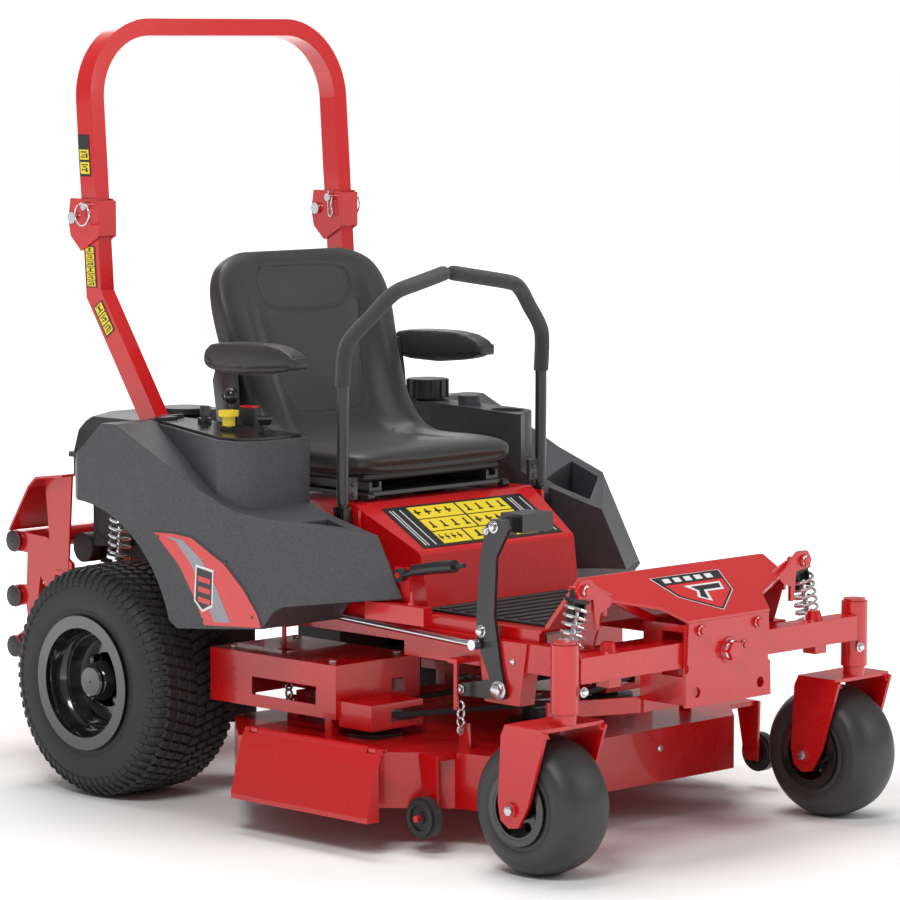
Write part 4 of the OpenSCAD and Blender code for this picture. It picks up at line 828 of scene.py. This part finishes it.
def make_rear_tyres(sizes):
    depth = sizes.tread_depth / MM
    for name, side in sides(1):
        centre = Vector(JOINTS[f"rear_wheel_spin_{name}"]["pos_m"])
        low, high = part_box(f"rear_tyre_{name}")
        centre = Vector(((low.x + high.x) / 2, centre.y, centre.z))
        half = (high.x - low.x) / 2 / MM
        outer = [
            (128, half - 26), (133, half - 14), (140, half - 8), (152, half - 4), (158, half - 4.5), (164, half - 1.5),
            (180, half - 0.5), (196, half - 1), (210, half - 4), (214, half - 2.6), (218, half - 4.5), (228, half - 10),
            (238, half - 22), (243, half - 38), (245.5, half - 60), (246, 0),
        ]
        skin = outer + [(r, -x) for r, x in reversed(outer[:-1])]
        inner = [(r - 12, x * 0.9) for r, x in reversed(skin[2:-2])]
        carcass = lathe(f"rear_tyre_{name}", skin + inner[::3], centre, 120)
        lug_mats = []
        for col, a in enumerate(TREAD_ROWS):
            for k in range(PITCH):
                turn = math.tau * (k + 0.5 * (col % 2) + 0.16 * abs(a) / 27) / PITCH
                m = (
                    Matrix.Rotation(turn, 4, "X")
                    @ Matrix.Translation(Vector((a, 0, crown(a) - depth / 2)) * MM)
                    @ Matrix.Rotation(-math.atan2(9 * a / 90, 90) * 0.9, 4, "Y")
                    @ Matrix.Rotation(math.copysign(0.3, a if a else 1), 4, "Z")
                )
                lug_mats.append(Matrix.Translation(centre) @ m)
        parts = [copies("lugs", tread_block(23.5, 18, depth), lug_mats)]
        for s in (-1, 1):
            for step, (a, r, lean, wide) in enumerate(SHOULDER_ROWS):
                mats = [
                    Matrix.Translation(centre)
                    @ Matrix.Rotation(math.tau * (k + 0.1 * step) / PITCH, 4, "X")
                    @ Matrix.Translation(Vector((s * (a - 3), 0, r - depth / 2)) * MM)
                    @ Matrix.Rotation(s * lean, 4, "Y")
                    for k in range(PITCH)
                ]
                parts.append(copies("shoulder", tread_block(wide, 11 - step, depth), mats))
        tyre = joined(f"rear_tyre_{name}", [carcass, *parts])
        smooth(tyre, 0.5)
        painted(tyre, "tyre_rubber", f"rear_wheel_{name}")
        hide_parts(f"rear_tyre_{name}")
        # stepped gloss barrel, hub, nuts and bowl in front of the disc
        ring = [
            (127, half - 14), (136, half - 6), (138, half + 1), (134, half + 4), (126, half + 2), (121, half - 6),
            (117, half - 16), (115, half - 34), (109, half - 40), (105, half - 46), (103, half - 62), (97, half - 68),
            (97, half - 72), (107, half - 70), (110, half - 46), (119, half - 36), (122, half - 18),
        ]
        rim = lathe(f"rear_barrel_{name}", [(r, side * x) for r, x in ring], centre, 96)
        face = DISC_FACE - abs(centre.x) / MM
        hub = [
            (2, face), (44, face), (44, face + 14), (38, face + 30), (35, face + 33), (35, face + 40),
            (31, face + 44), (2, face + 45),
        ]
        cap = lathe("hub", [(r, side * x) for r, x in hub], centre, 48)
        nuts = []
        for a in (math.radians(d) for d in (45, 135, 225, 315)):
            place = (
                centre.x / MM + side * face,
                centre.y / MM - DATUM + NUT_CIRCLE * math.sin(a),
                centre.z / MM + NUT_CIRCLE * math.cos(a),
            )
            nuts.append(hex_bolt(place, (side, 0, 0), NUT_R, NUT_TALL))
        dish = [
            (60, face - 4), (88, face - 4), (96, face + 8), (101, face + 20), (104, face + 20), (104, face - 8),
            (60, face - 8),
        ]
        bowl = lathe("bowl", [(r, side * x) for r, x in dish], centre, 72)
        rim = joined(f"rear_barrel_{name}", [rim, cap, bowl, *nuts])
        painted(rim, "rim_gloss", f"rear_wheel_{name}")


def make_caster_tyres():
    for name, _ in sides(1):
        joint = next(j for n, j in JOINTS.items() if "caster_spin" in n and n.endswith(name))
        low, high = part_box(f"caster_tyre_{name}")
        centre = Vector(((low.x + high.x) / 2, joint["pos_m"][1], joint["pos_m"][2]))
        half = (high.x - low.x) / 2 / MM
        outer = [
            (65, half - 22), (68, half - 9), (73, half - 4), (80, half - 2), (84, half - 3.6), (88, half - 2.2),
            (96, half - 0.6), (106, half - 2), (109, half - 3.8), (112, half - 3.6), (120, half - 9), (128, half - 18),
            (134.5, half - 30), (138, half - 44), (139.6, half - 58), (140, 0),
        ]
        skin = outer + [(r, -x) for r, x in reversed(outer[:-1])]
        inner = [(r - 10, x * 0.86) for r, x in reversed(skin[2:-2])]
        tyre = lathe(f"caster_tyre_{name}", skin + inner[::3], centre, 112)
        painted(tyre, "caster_rubber", f"caster_wheel_{name}")
        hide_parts(f"caster_tyre_{name}")


# ---------------------------------------------------------------- labels and small hardware


def strip(name, corners, normal, thick, material, body=None):
    """A thin plate over four or more working corners in one plane, raised along a normal."""
    fresh()
    bpy.ops.mesh.primitive_circle_add(vertices=len(corners), radius=1, fill_type="NGON")
    o = bpy.context.object
    o.name = name
    for v, p in zip(o.data.vertices, corners):
        v.co = at(*p)
    bpy.ops.object.mode_set(mode="EDIT")
    bpy.ops.mesh.select_all(action="SELECT")
    bpy.ops.mesh.extrude_region_move(TRANSFORM_OT_translate={"value": Vector(normal) * thick * MM})
    bpy.ops.mesh.select_all(action="SELECT")
    bpy.ops.mesh.normals_make_consistent(inside=False)
    bpy.ops.object.mode_set(mode="OBJECT")
    if body:
        return painted(o, material, body)
    o.data.materials.append(bpy.data.materials[material])
    return o


def quad(origin, u, v, a, b, c, d):
    """Corners of the cell from (a, b) to (c, d) on the plane with axes u and v."""
    o, u, v = Vector(origin), Vector(u), Vector(v)
    return [o + u * a + v * b, o + u * c + v * b, o + u * c + v * d, o + u * a + v * d]


def sign_label(name, origin, u, v, normal, cells, body, thick):
    """A black label with yellow cells that each hold a plain bar drawing; no lettering."""
    made = {"label_black": [], "label_yellow": []}

    def add(material, a, b, c, d, lift):
        shift = Vector(normal) * lift
        corners = [p + shift for p in quad(origin, u, v, a, b, c, d)]
        made[material].append(strip("cell", corners, normal, thick, material))

    add("label_black", 0, 0, 1, 1, 0.0)
    for a, b, c, d, drawing in cells:
        add("label_yellow", a, b, c, d, thick)
        w, h = c - a, d - b
        for p, q, r, s in drawing:
            add("label_black", a + w * p, b + h * q, a + w * r, b + h * s, 2 * thick)
    for material, pieces in made.items():
        o = joined(f"{name}_{material.split('_')[1]}", pieces)
        painted(o, material, body)


# Bars drawn in a label cell, each from corner to corner in shares of the cell
MARK_A = [(0.12, 0.2, 0.3, 0.62), (0.38, 0.2, 0.9, 0.3), (0.38, 0.42, 0.8, 0.5), (0.2, 0.7, 0.84, 0.82)]
MARK_B = [(0.2, 0.16, 0.42, 0.48), (0.52, 0.3, 0.86, 0.4), (0.3, 0.56, 0.7, 0.64), (0.14, 0.74, 0.86, 0.82)]
MARK_C = [(0.14, 0.2, 0.86, 0.3), (0.4, 0.34, 0.6, 0.74), (0.2, 0.78, 0.8, 0.86)]
# Rows of four small figures, one with crosses and one with tees
MARK_D = [
    [(0.08 + 0.22 * i, 0.3, 0.12 + 0.22 * i, 0.76) for i in range(4)]
    + [(0.05 + 0.22 * i, 0.46, 0.18 + 0.22 * i, 0.56) for i in range(4)],
    [(0.1 + 0.24 * i, 0.24, 0.2 + 0.24 * i, 0.34) for i in range(4)]
    + [(0.13 + 0.24 * i, 0.34, 0.17 + 0.24 * i, 0.78) for i in range(4)],
]


def make_labels(sizes):
    t = sizes.label_thickness / MM
    marks = (MARK_A, MARK_B, MARK_C)
    # console slope: a wide black label with a yellow block of cells
    run, rise = 156, 88
    normal = Vector((0, -rise, run)).normalized()
    base = Vector((-212, -331, 578))
    u, v = Vector((424, 0, 0)), Vector((0, run, rise)) * (150 / math.hypot(run, rise))
    cells = []
    for row, split in enumerate((0.3, 0.5, 0.5)):
        b = 0.06 + row * 0.305
        wide = (MARK_D[row % 2], MARK_D[(row + 1) % 2])
        middle = 0.16 + 0.66 * split
        cells += [(0.16, b, middle, b + 0.28, wide[0]), (middle + 0.015, b, 0.835, b + 0.28, wide[1])]
    sign_label("console_label", base + normal * 0.3, u, v, normal, cells, "chassis", t)
    lines = []
    for a in (0.03, 0.05, 0.1, 0.88, 0.9, 0.965):
        corners = quad(base + normal * (0.4 + t), u, v, a, 0.06, a + 0.006, 0.92)
        lines.append(strip("line", corners, normal, t, "decal_white"))
    painted(joined("console_label_lines", lines), "decal_white", "chassis")
    # roll bar: strips on both outer faces
    for name, s in sides(1):
        x = s * 388.3
        cells = [(0.12, 0.03 + 0.16 * i, 0.88, 0.17 + 0.16 * i, marks[i % 3]) for i in range(6)]
        sign_label(f"post_label_{name}", Vector((x, 522 - 3, 1100)), Vector((0, 36, 0)), Vector((0, 7, 92)),
                   (s, 0, 0), cells, "chassis", t)
        low = [(0.12, 0.04 + 0.32 * i, 0.88, 0.32 + 0.32 * i, marks[i % 3]) for i in range(3)]
        sign_label(f"bend_label_{name}", Vector((x, 460, 1010)), Vector((0, 28, -19)), Vector((0, 44, 64)),
                   (s, 0, 0), low, "chassis", t)
        up = [(0.1, 0.06, 0.9, 0.34, MARK_B), (0.1, 0.4, 0.9, 0.64, MARK_A)]
        sign_label(f"hoop_label_{name}", Vector((x, 536, 1345)), Vector((0, 38, 0)), Vector((0, 7, 92)),
                   (s, 0, 0), up, "roll_bar", t)
    # discharge side label on the deck
    drawing = [(0.06, 0.2, 0.2, 0.8), (0.3, 0.3, 0.9, 0.42), (0.3, 0.58, 0.8, 0.7)]
    sign_label("deck_label", Vector((-520, -330, 200.4)), Vector((0, 90, 0)), Vector((34, 0, 0)), (0, 0, 1),
               [(0.04, 0.1, 0.96, 0.9, drawing)], "deck", t)


# Outline of the fender decal in (y, z), and the fender's outer face from the centre plane
DECAL = [
    (130, 604), (70, 606), (11, 602), (-93, 554), (-150, 508), (-194, 459), (-206, 433), (-120, 427), (-28, 421),
    (-2, 470), (50, 540),
]
FENDER_FACE = 562.2


def make_decals(sizes):
    t = sizes.label_thickness / MM
    for name, s in sides(1):
        x0 = s * FENDER_FACE

        def face(tag, outline, lift, material):
            a, b = x0 + s * lift, x0 + s * (lift + t)
            o = plate(f"{tag}_{name}", outline, "x", a, b)
            return painted(o, material, "chassis")

        edge = [(y - (3 if y < 60 else -3), z + (4 if z > 500 else -3)) for y, z in DECAL]
        face("decal_edge", edge, 0.0, "label_black")
        face("decal_field", DECAL, t, "decal_red")
        stripe = [
            (90, 600), (40, 596), (-20, 560), (-70, 500), (-110, 434), (-60, 431), (-30, 480), (10, 545), (60, 590),
        ]
        face("decal_stripe", stripe, 2 * t, "decal_grey")
        mark = [(-60, 540), (-4, 548), (2, 470), (-24, 448), (-56, 462)]
        face("decal_mark_edge", mark, 3 * t, "decal_white")
        inner = [(-56, 535), (-8, 542), (-3, 472), (-25, 454), (-52, 466)]
        face("decal_mark", inner, 4 * t, "label_black")
        bars = []
        for z in (520, 498, 476):
            outline = [(-50, z), (-12, z + 5), (-12, z - 6), (-50, z - 11)]
            bars.append(plate("bar", outline, "x", x0 + s * 5 * t, x0 + s * 6 * t))
        painted(joined(f"decal_bars_{name}", bars), "decal_red", "chassis")
        spots = ((-178, 452), (-22, 432), (-96, 560), (118, 596))
        screws = [hex_bolt((x0, y, z), (s, 0, 0), 4, 3) for y, z in spots]
        painted(joined(f"fender_screws_{name}", screws), "black_enamel", "chassis")
    # badge on the folded front cover
    n = Vector((0, -87, 155)).normalized()

    def on_cover(x, y):
        return (x, y, 478 + (y + 998) * (86 / 151) + 6.6)

    outline = [(-106, -874), (106, -874), (84, -934), (0, -984), (-84, -934)]
    for i, (k, material) in enumerate(((1.0, "decal_white"), (0.97, "label_black"), (0.9, "decal_red"))):
        corners = [Vector(on_cover(x * k, -922 + (y + 922) * k)) + n * (i * t) for x, y in outline]
        strip(f"cover_badge_{i}", corners, n, t, material, "chassis")
    parts = {
        "band": ("label_black", 3, [[(-99, -878), (99, -878), (92, -900), (-92, -900)]]),
        "bars": ("decal_white", 4, [
            [(x, -883), (x + 20, -883), (x + 18, -895), (x - 2, -895)] for x in (-80, -48, -16, 16, 48)
        ]),
        "mark": ("decal_white", 3, [
            [(-40, -908), (70, -908), (60, -930), (8, -930), (-6, -958), (-34, -942), (-20, -926)]
        ]),
        "mark_core": ("label_black", 4, [
            [(-24, -913), (62, -913), (55, -925), (2, -925), (-11, -951), (-25, -942), (-12, -926)]
        ]),
    }
    for tag, (material, lift, shapes) in parts.items():
        pieces = []
        for shape in shapes:
            corners = [Vector(on_cover(x, y)) + n * lift * t for x, y in shape]
            pieces.append(strip("part", corners, n, t, material))
        painted(joined(f"cover_badge_{tag}", pieces), material, "chassis")


def make_hardware():
    # belt buckle beside the seat, on a short stalk from its base
    body = block("buckle_body", (-292, 112, 790), (-268, 168, 852), 5, 3)
    stalk = plate("stalk", [(122, 716), (150, 716), (156, 800), (128, 800)], "x", -284, -276, 1.5)
    painted(joined("buckle_body", [body, stalk]), "satin_black_plastic", "seat")
    painted(block("buckle_button", (-290, 120, 850), (-270, 160, 856), 2), "buckle_red", "seat")
    # hitch pins through the roll bar joints, with a ring on one hand and a hairpin on the other
    for name, s in sides(1):
        x0 = s * 410
        line = [(s * 330, 541, 1280), (s * 370, 541, 1280), (x0, 541, 1280)]
        pin = tube(f"hitch_pin_{name}", line, 0.0055, smooth_steps=4)
        turns = np.linspace(1.2, 1.2 + math.tau * 0.97, 22)
        loop = [(x0 + s * 2, 541 + 24 * math.cos(a), 1262 + 24 * math.sin(a)) for a in turns]
        ring = tube("ring", loop, 0.0022, smooth_steps=4)
        bends = ((541, 1296), (541, 1250), (536, 1236), (528, 1242), (532, 1262), (529, 1280))
        clip = tube("clip", [(s * 334, y, z) for y, z in bends], 0.0018, smooth_steps=6)
        painted(joined(f"hitch_pin_{name}", [pin, ring, clip]), "zinc_steel", "chassis")
    # bright bolts, by the body they ride on
    front, side = (0, -1, 0), (-1, 0, 0)
    plate_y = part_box("front_box")[0].y / MM - DATUM + 20.6
    sets = {
        "chassis": [
            (0, plate_y - 3, 412, front, 23), (44, plate_y, 418, front, 9), (-87, plate_y, 460, front, 11),
            (87, plate_y, 460, front, 11), (-340, -669, 329, side, 15),
            (-336, -915, 556, front, 12), (336, -915, 556, front, 12), (-324, -700, 390, side, 7),
            (-278, -186, 584, front, 5), (278, -186, 584, front, 5), (-278, -186, 620, front, 5),
            (278, -186, 620, front, 5),
            (-331, -396, 541, side, 8),
        ],
        "lift_pedal": [(-336, -617, 445, side, 10), (-336, -652, 662, side, 10), (-337, -560, 319, side, 8),
                       (-336, -632, 652, side, 6)],
        "deck": [(s * x, y, 352, (0, 0, 1), 9) for s in (-1, 1) for x in (225, 410) for y in (-260, 50)]
        + [(-90, -701, 150, front, 8), (120, -701, 158, front, 8), (-240, -701, 140, front, 8)],
        "front_axle": [(s * 425, -996, 372, front, 8) for s in (-1, 1)],
    }
    for name, s in sides(1):
        low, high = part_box(f"caster_fork_{name}")
        axle = next(j for n, j in JOINTS.items() if "caster_spin" in n and n.endswith(name))["pos_m"]
        place = (low.x / MM, axle[1] / MM - DATUM, axle[2] / MM)
        sets[f"caster_{name}"] = [(*place, side, 11), (high.x / MM, place[1], place[2], (1, 0, 0), 11)]
    for body, rows in sets.items():
        bolts = [hex_bolt((x, y, z), n, r) for x, y, z, n, r in rows]
        painted(joined(f"bolts_{body}", bolts), "zinc_steel", body)
    # dark caps on the rear guard tubes
    caps = []
    for s in (-1, 1):
        for z in (250, 367, 495):
            c = at(s * 306, 920, z)
            prof = [(2, -s * 3), (25, -s * 3), (26, s * 2), (24, s * 6), (18, s * 7.5), (2, s * 8)]
            caps.append(lathe("cap", prof, c, 36))
    painted(joined("guard_caps", caps), "satin_black_plastic", "rear_cradle")
    # throttle ball
    fresh()
    low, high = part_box("throttle_lever")
    centre = ((low.x + high.x) / 2, (low.y + high.y) / 2, high.z - 0.016)
    bpy.ops.mesh.primitive_uv_sphere_add(segments=28, ring_count=18, radius=0.017, location=centre)
    ball = settle(bpy.context.object)
    ball.name = "throttle_ball"
    bpy.ops.object.mode_set(mode="EDIT")
    bpy.ops.mesh.select_all(action="SELECT")
    bpy.ops.transform.resize(value=(0.92, 0.92, 1.06), center_override=centre)
    bpy.ops.object.mode_set(mode="OBJECT")
    painted(smooth(ball, 3.0), "gloss_plastic", "throttle")


# ---------------------------------------------------------------- studio


# Share of the white surroundings that lights the machine
AMBIENT = 0.34
# Distances in metres between which the floor fades to plain white
FADE = (1.3, 3.2)


def floor_material():
    """White paper that takes the machine's shadow and fades to plain white further out."""
    m = bpy.data.materials["floor_white"]
    tree = m.node_tree
    shader = next(n for n in tree.nodes if n.type == "BSDF_PRINCIPLED")
    where = tree.nodes.new("ShaderNodeTexCoord").outputs["Object"]
    reach = tree.nodes.new("ShaderNodeVectorMath")
    reach.operation = "LENGTH"
    tree.links.new(where, reach.inputs[0])
    away = math_node(tree, "SUBTRACT", reach.outputs["Value"], FADE[0])
    away = math_node(tree, "DIVIDE", away, FADE[1] - FADE[0], True)
    tree.links.new(mixed(tree, away, (0, 0, 0, 1), (1, 1, 1, 1)), shader.inputs["Emission Color"])
    shader.inputs["Emission Strength"].default_value = 1.0
    return m


def make_stage():
    scene = bpy.context.scene
    cam = bpy.data.cameras.new("studio_camera")
    cam.sensor_width = 36
    cam.lens = 162.9
    cam.shift_x, cam.shift_y = -0.003, 0.0022
    cam.clip_end = 60
    eye = bpy.data.objects.new("studio_camera", cam)
    eye.location = (-6.1908, -6.3946 + DATUM * MM, 1.6438)
    eye.rotation_euler = (math.radians(84.23), 0, math.radians(-45))
    scene.collection.objects.link(eye)
    scene.camera = eye
    fresh()
    bpy.ops.mesh.primitive_plane_add(size=60, location=(0, 0, 0))
    floor = bpy.context.object
    floor.name = "studio_floor"
    floor.data.materials.append(floor_material())
    world = bpy.data.worlds.new("studio_world")
    world.use_nodes = True
    world.node_tree.nodes["Background"].inputs[0].default_value = (1, 1, 1, 1)
    ray = world.node_tree.nodes.new("ShaderNodeLightPath")
    level = math_node(world.node_tree, "MULTIPLY", ray.outputs["Is Camera Ray"], 1.0 - AMBIENT)
    level = math_node(world.node_tree, "ADD", level, AMBIENT)
    world.node_tree.links.new(level, world.node_tree.nodes["Background"].inputs[1])
    scene.world = world
    scene.view_settings.view_transform = "Standard"
    for name, where, watts, wide, high in (
        ("key_panel", (-4.2, -2.6, 5.0), 150, 2.2, 1.4),
        ("fill_panel", (3.2, -4.8, 3.2), 50, 1.6, 2.2),
        ("top_panel", (0.2, 0.6, 5.0), 130, 2.6, 2.6),
        ("back_panel", (2.6, 4.6, 3.4), 70, 3.0, 2.0),
    ):
        light = bpy.data.lights.new(name, "AREA")
        light.shape = "RECTANGLE"
        light.energy, light.size, light.size_y = watts, wide, high
        lamp = bpy.data.objects.new(name, light)
        lamp.location = where
        lamp.rotation_euler = (Vector((0, 0, 0.6)) - Vector(where)).to_track_quat("-Z", "Y").to_euler()
        scene.collection.objects.link(lamp)


# ---------------------------------------------------------------- operators and panel


def operator(idname, label, doc, work):
    def execute(self, context):
        work(context.scene)
        return {"FINISHED"}

    return type(
        "MOWER_OT_" + idname, (bpy.types.Operator,),
        {"bl_idname": "mower." + idname, "bl_label": label, "__doc__": doc,
         "bl_options": {"REGISTER", "UNDO"}, "execute": execute},
    )


STEPS = [
    operator("finishes", "Build finishes", "Builds every material and puts them on the frame",
             lambda s: (make_groups(), make_materials(s.mower_paint), dress_nodes())),
    operator("stage", "Set the studio", "Adds the camera, floor and lights", lambda s: make_stage()),
    operator("seat", "Make the seat", "Makes the vinyl bucket, its pan and brackets", lambda s: make_seat()),
    operator("armrests", "Make the armrests", "Makes both padded armrests", lambda s: make_armrests()),
    operator("levers", "Make the control levers", "Makes the lever tubes and foam grips",
             lambda s: make_levers(s.mower_sizes)),
    operator("rear_tyres", "Make the rear tyres", "Makes the treaded rear tyres and rim barrels",
             lambda s: make_rear_tyres(s.mower_sizes)),
    operator("caster_tyres", "Make the caster tyres", "Makes the smooth front tyres", lambda s: make_caster_tyres()),
    operator("labels", "Make the labels", "Makes the safety labels", lambda s: make_labels(s.mower_sizes)),
    operator("decals", "Make the decals", "Makes the fender decals and the cover badge",
             lambda s: make_decals(s.mower_sizes)),
    operator("hardware", "Make the hardware", "Makes the buckle, pins, bolts, caps and ball",
             lambda s: make_hardware()),
]


class MOWER_PT_panel(bpy.types.Panel):
    """Lists the mower's operators and its sizes and colours"""

    bl_label = "Mower"
    bl_idname = "MOWER_PT_panel"
    bl_space_type = "VIEW_3D"
    bl_region_type = "UI"
    bl_category = "Mower"

    def draw(self, context):
        for owner in (context.scene.mower_sizes, context.scene.mower_paint):
            for name in owner.__annotations__:
                self.layout.prop(owner, name)
        for step in STEPS:
            self.layout.operator(step.bl_idname)


CLASSES = [MowerPaint, MowerSizes, *STEPS, MOWER_PT_panel]


def register():
    for c in CLASSES:
        bpy.utils.register_class(c)
    bpy.types.Scene.mower_paint = bpy.props.PointerProperty(type=MowerPaint)
    bpy.types.Scene.mower_sizes = bpy.props.PointerProperty(type=MowerSizes)


def unregister():
    del bpy.types.Scene.mower_sizes
    del bpy.types.Scene.mower_paint
    for c in reversed(CLASSES):
        bpy.utils.unregister_class(c)


def main():
    register()
    for step in STEPS:
        getattr(bpy.ops.mower, step.bl_idname.split(".")[1])()


if __name__ == "__main__":
    main()
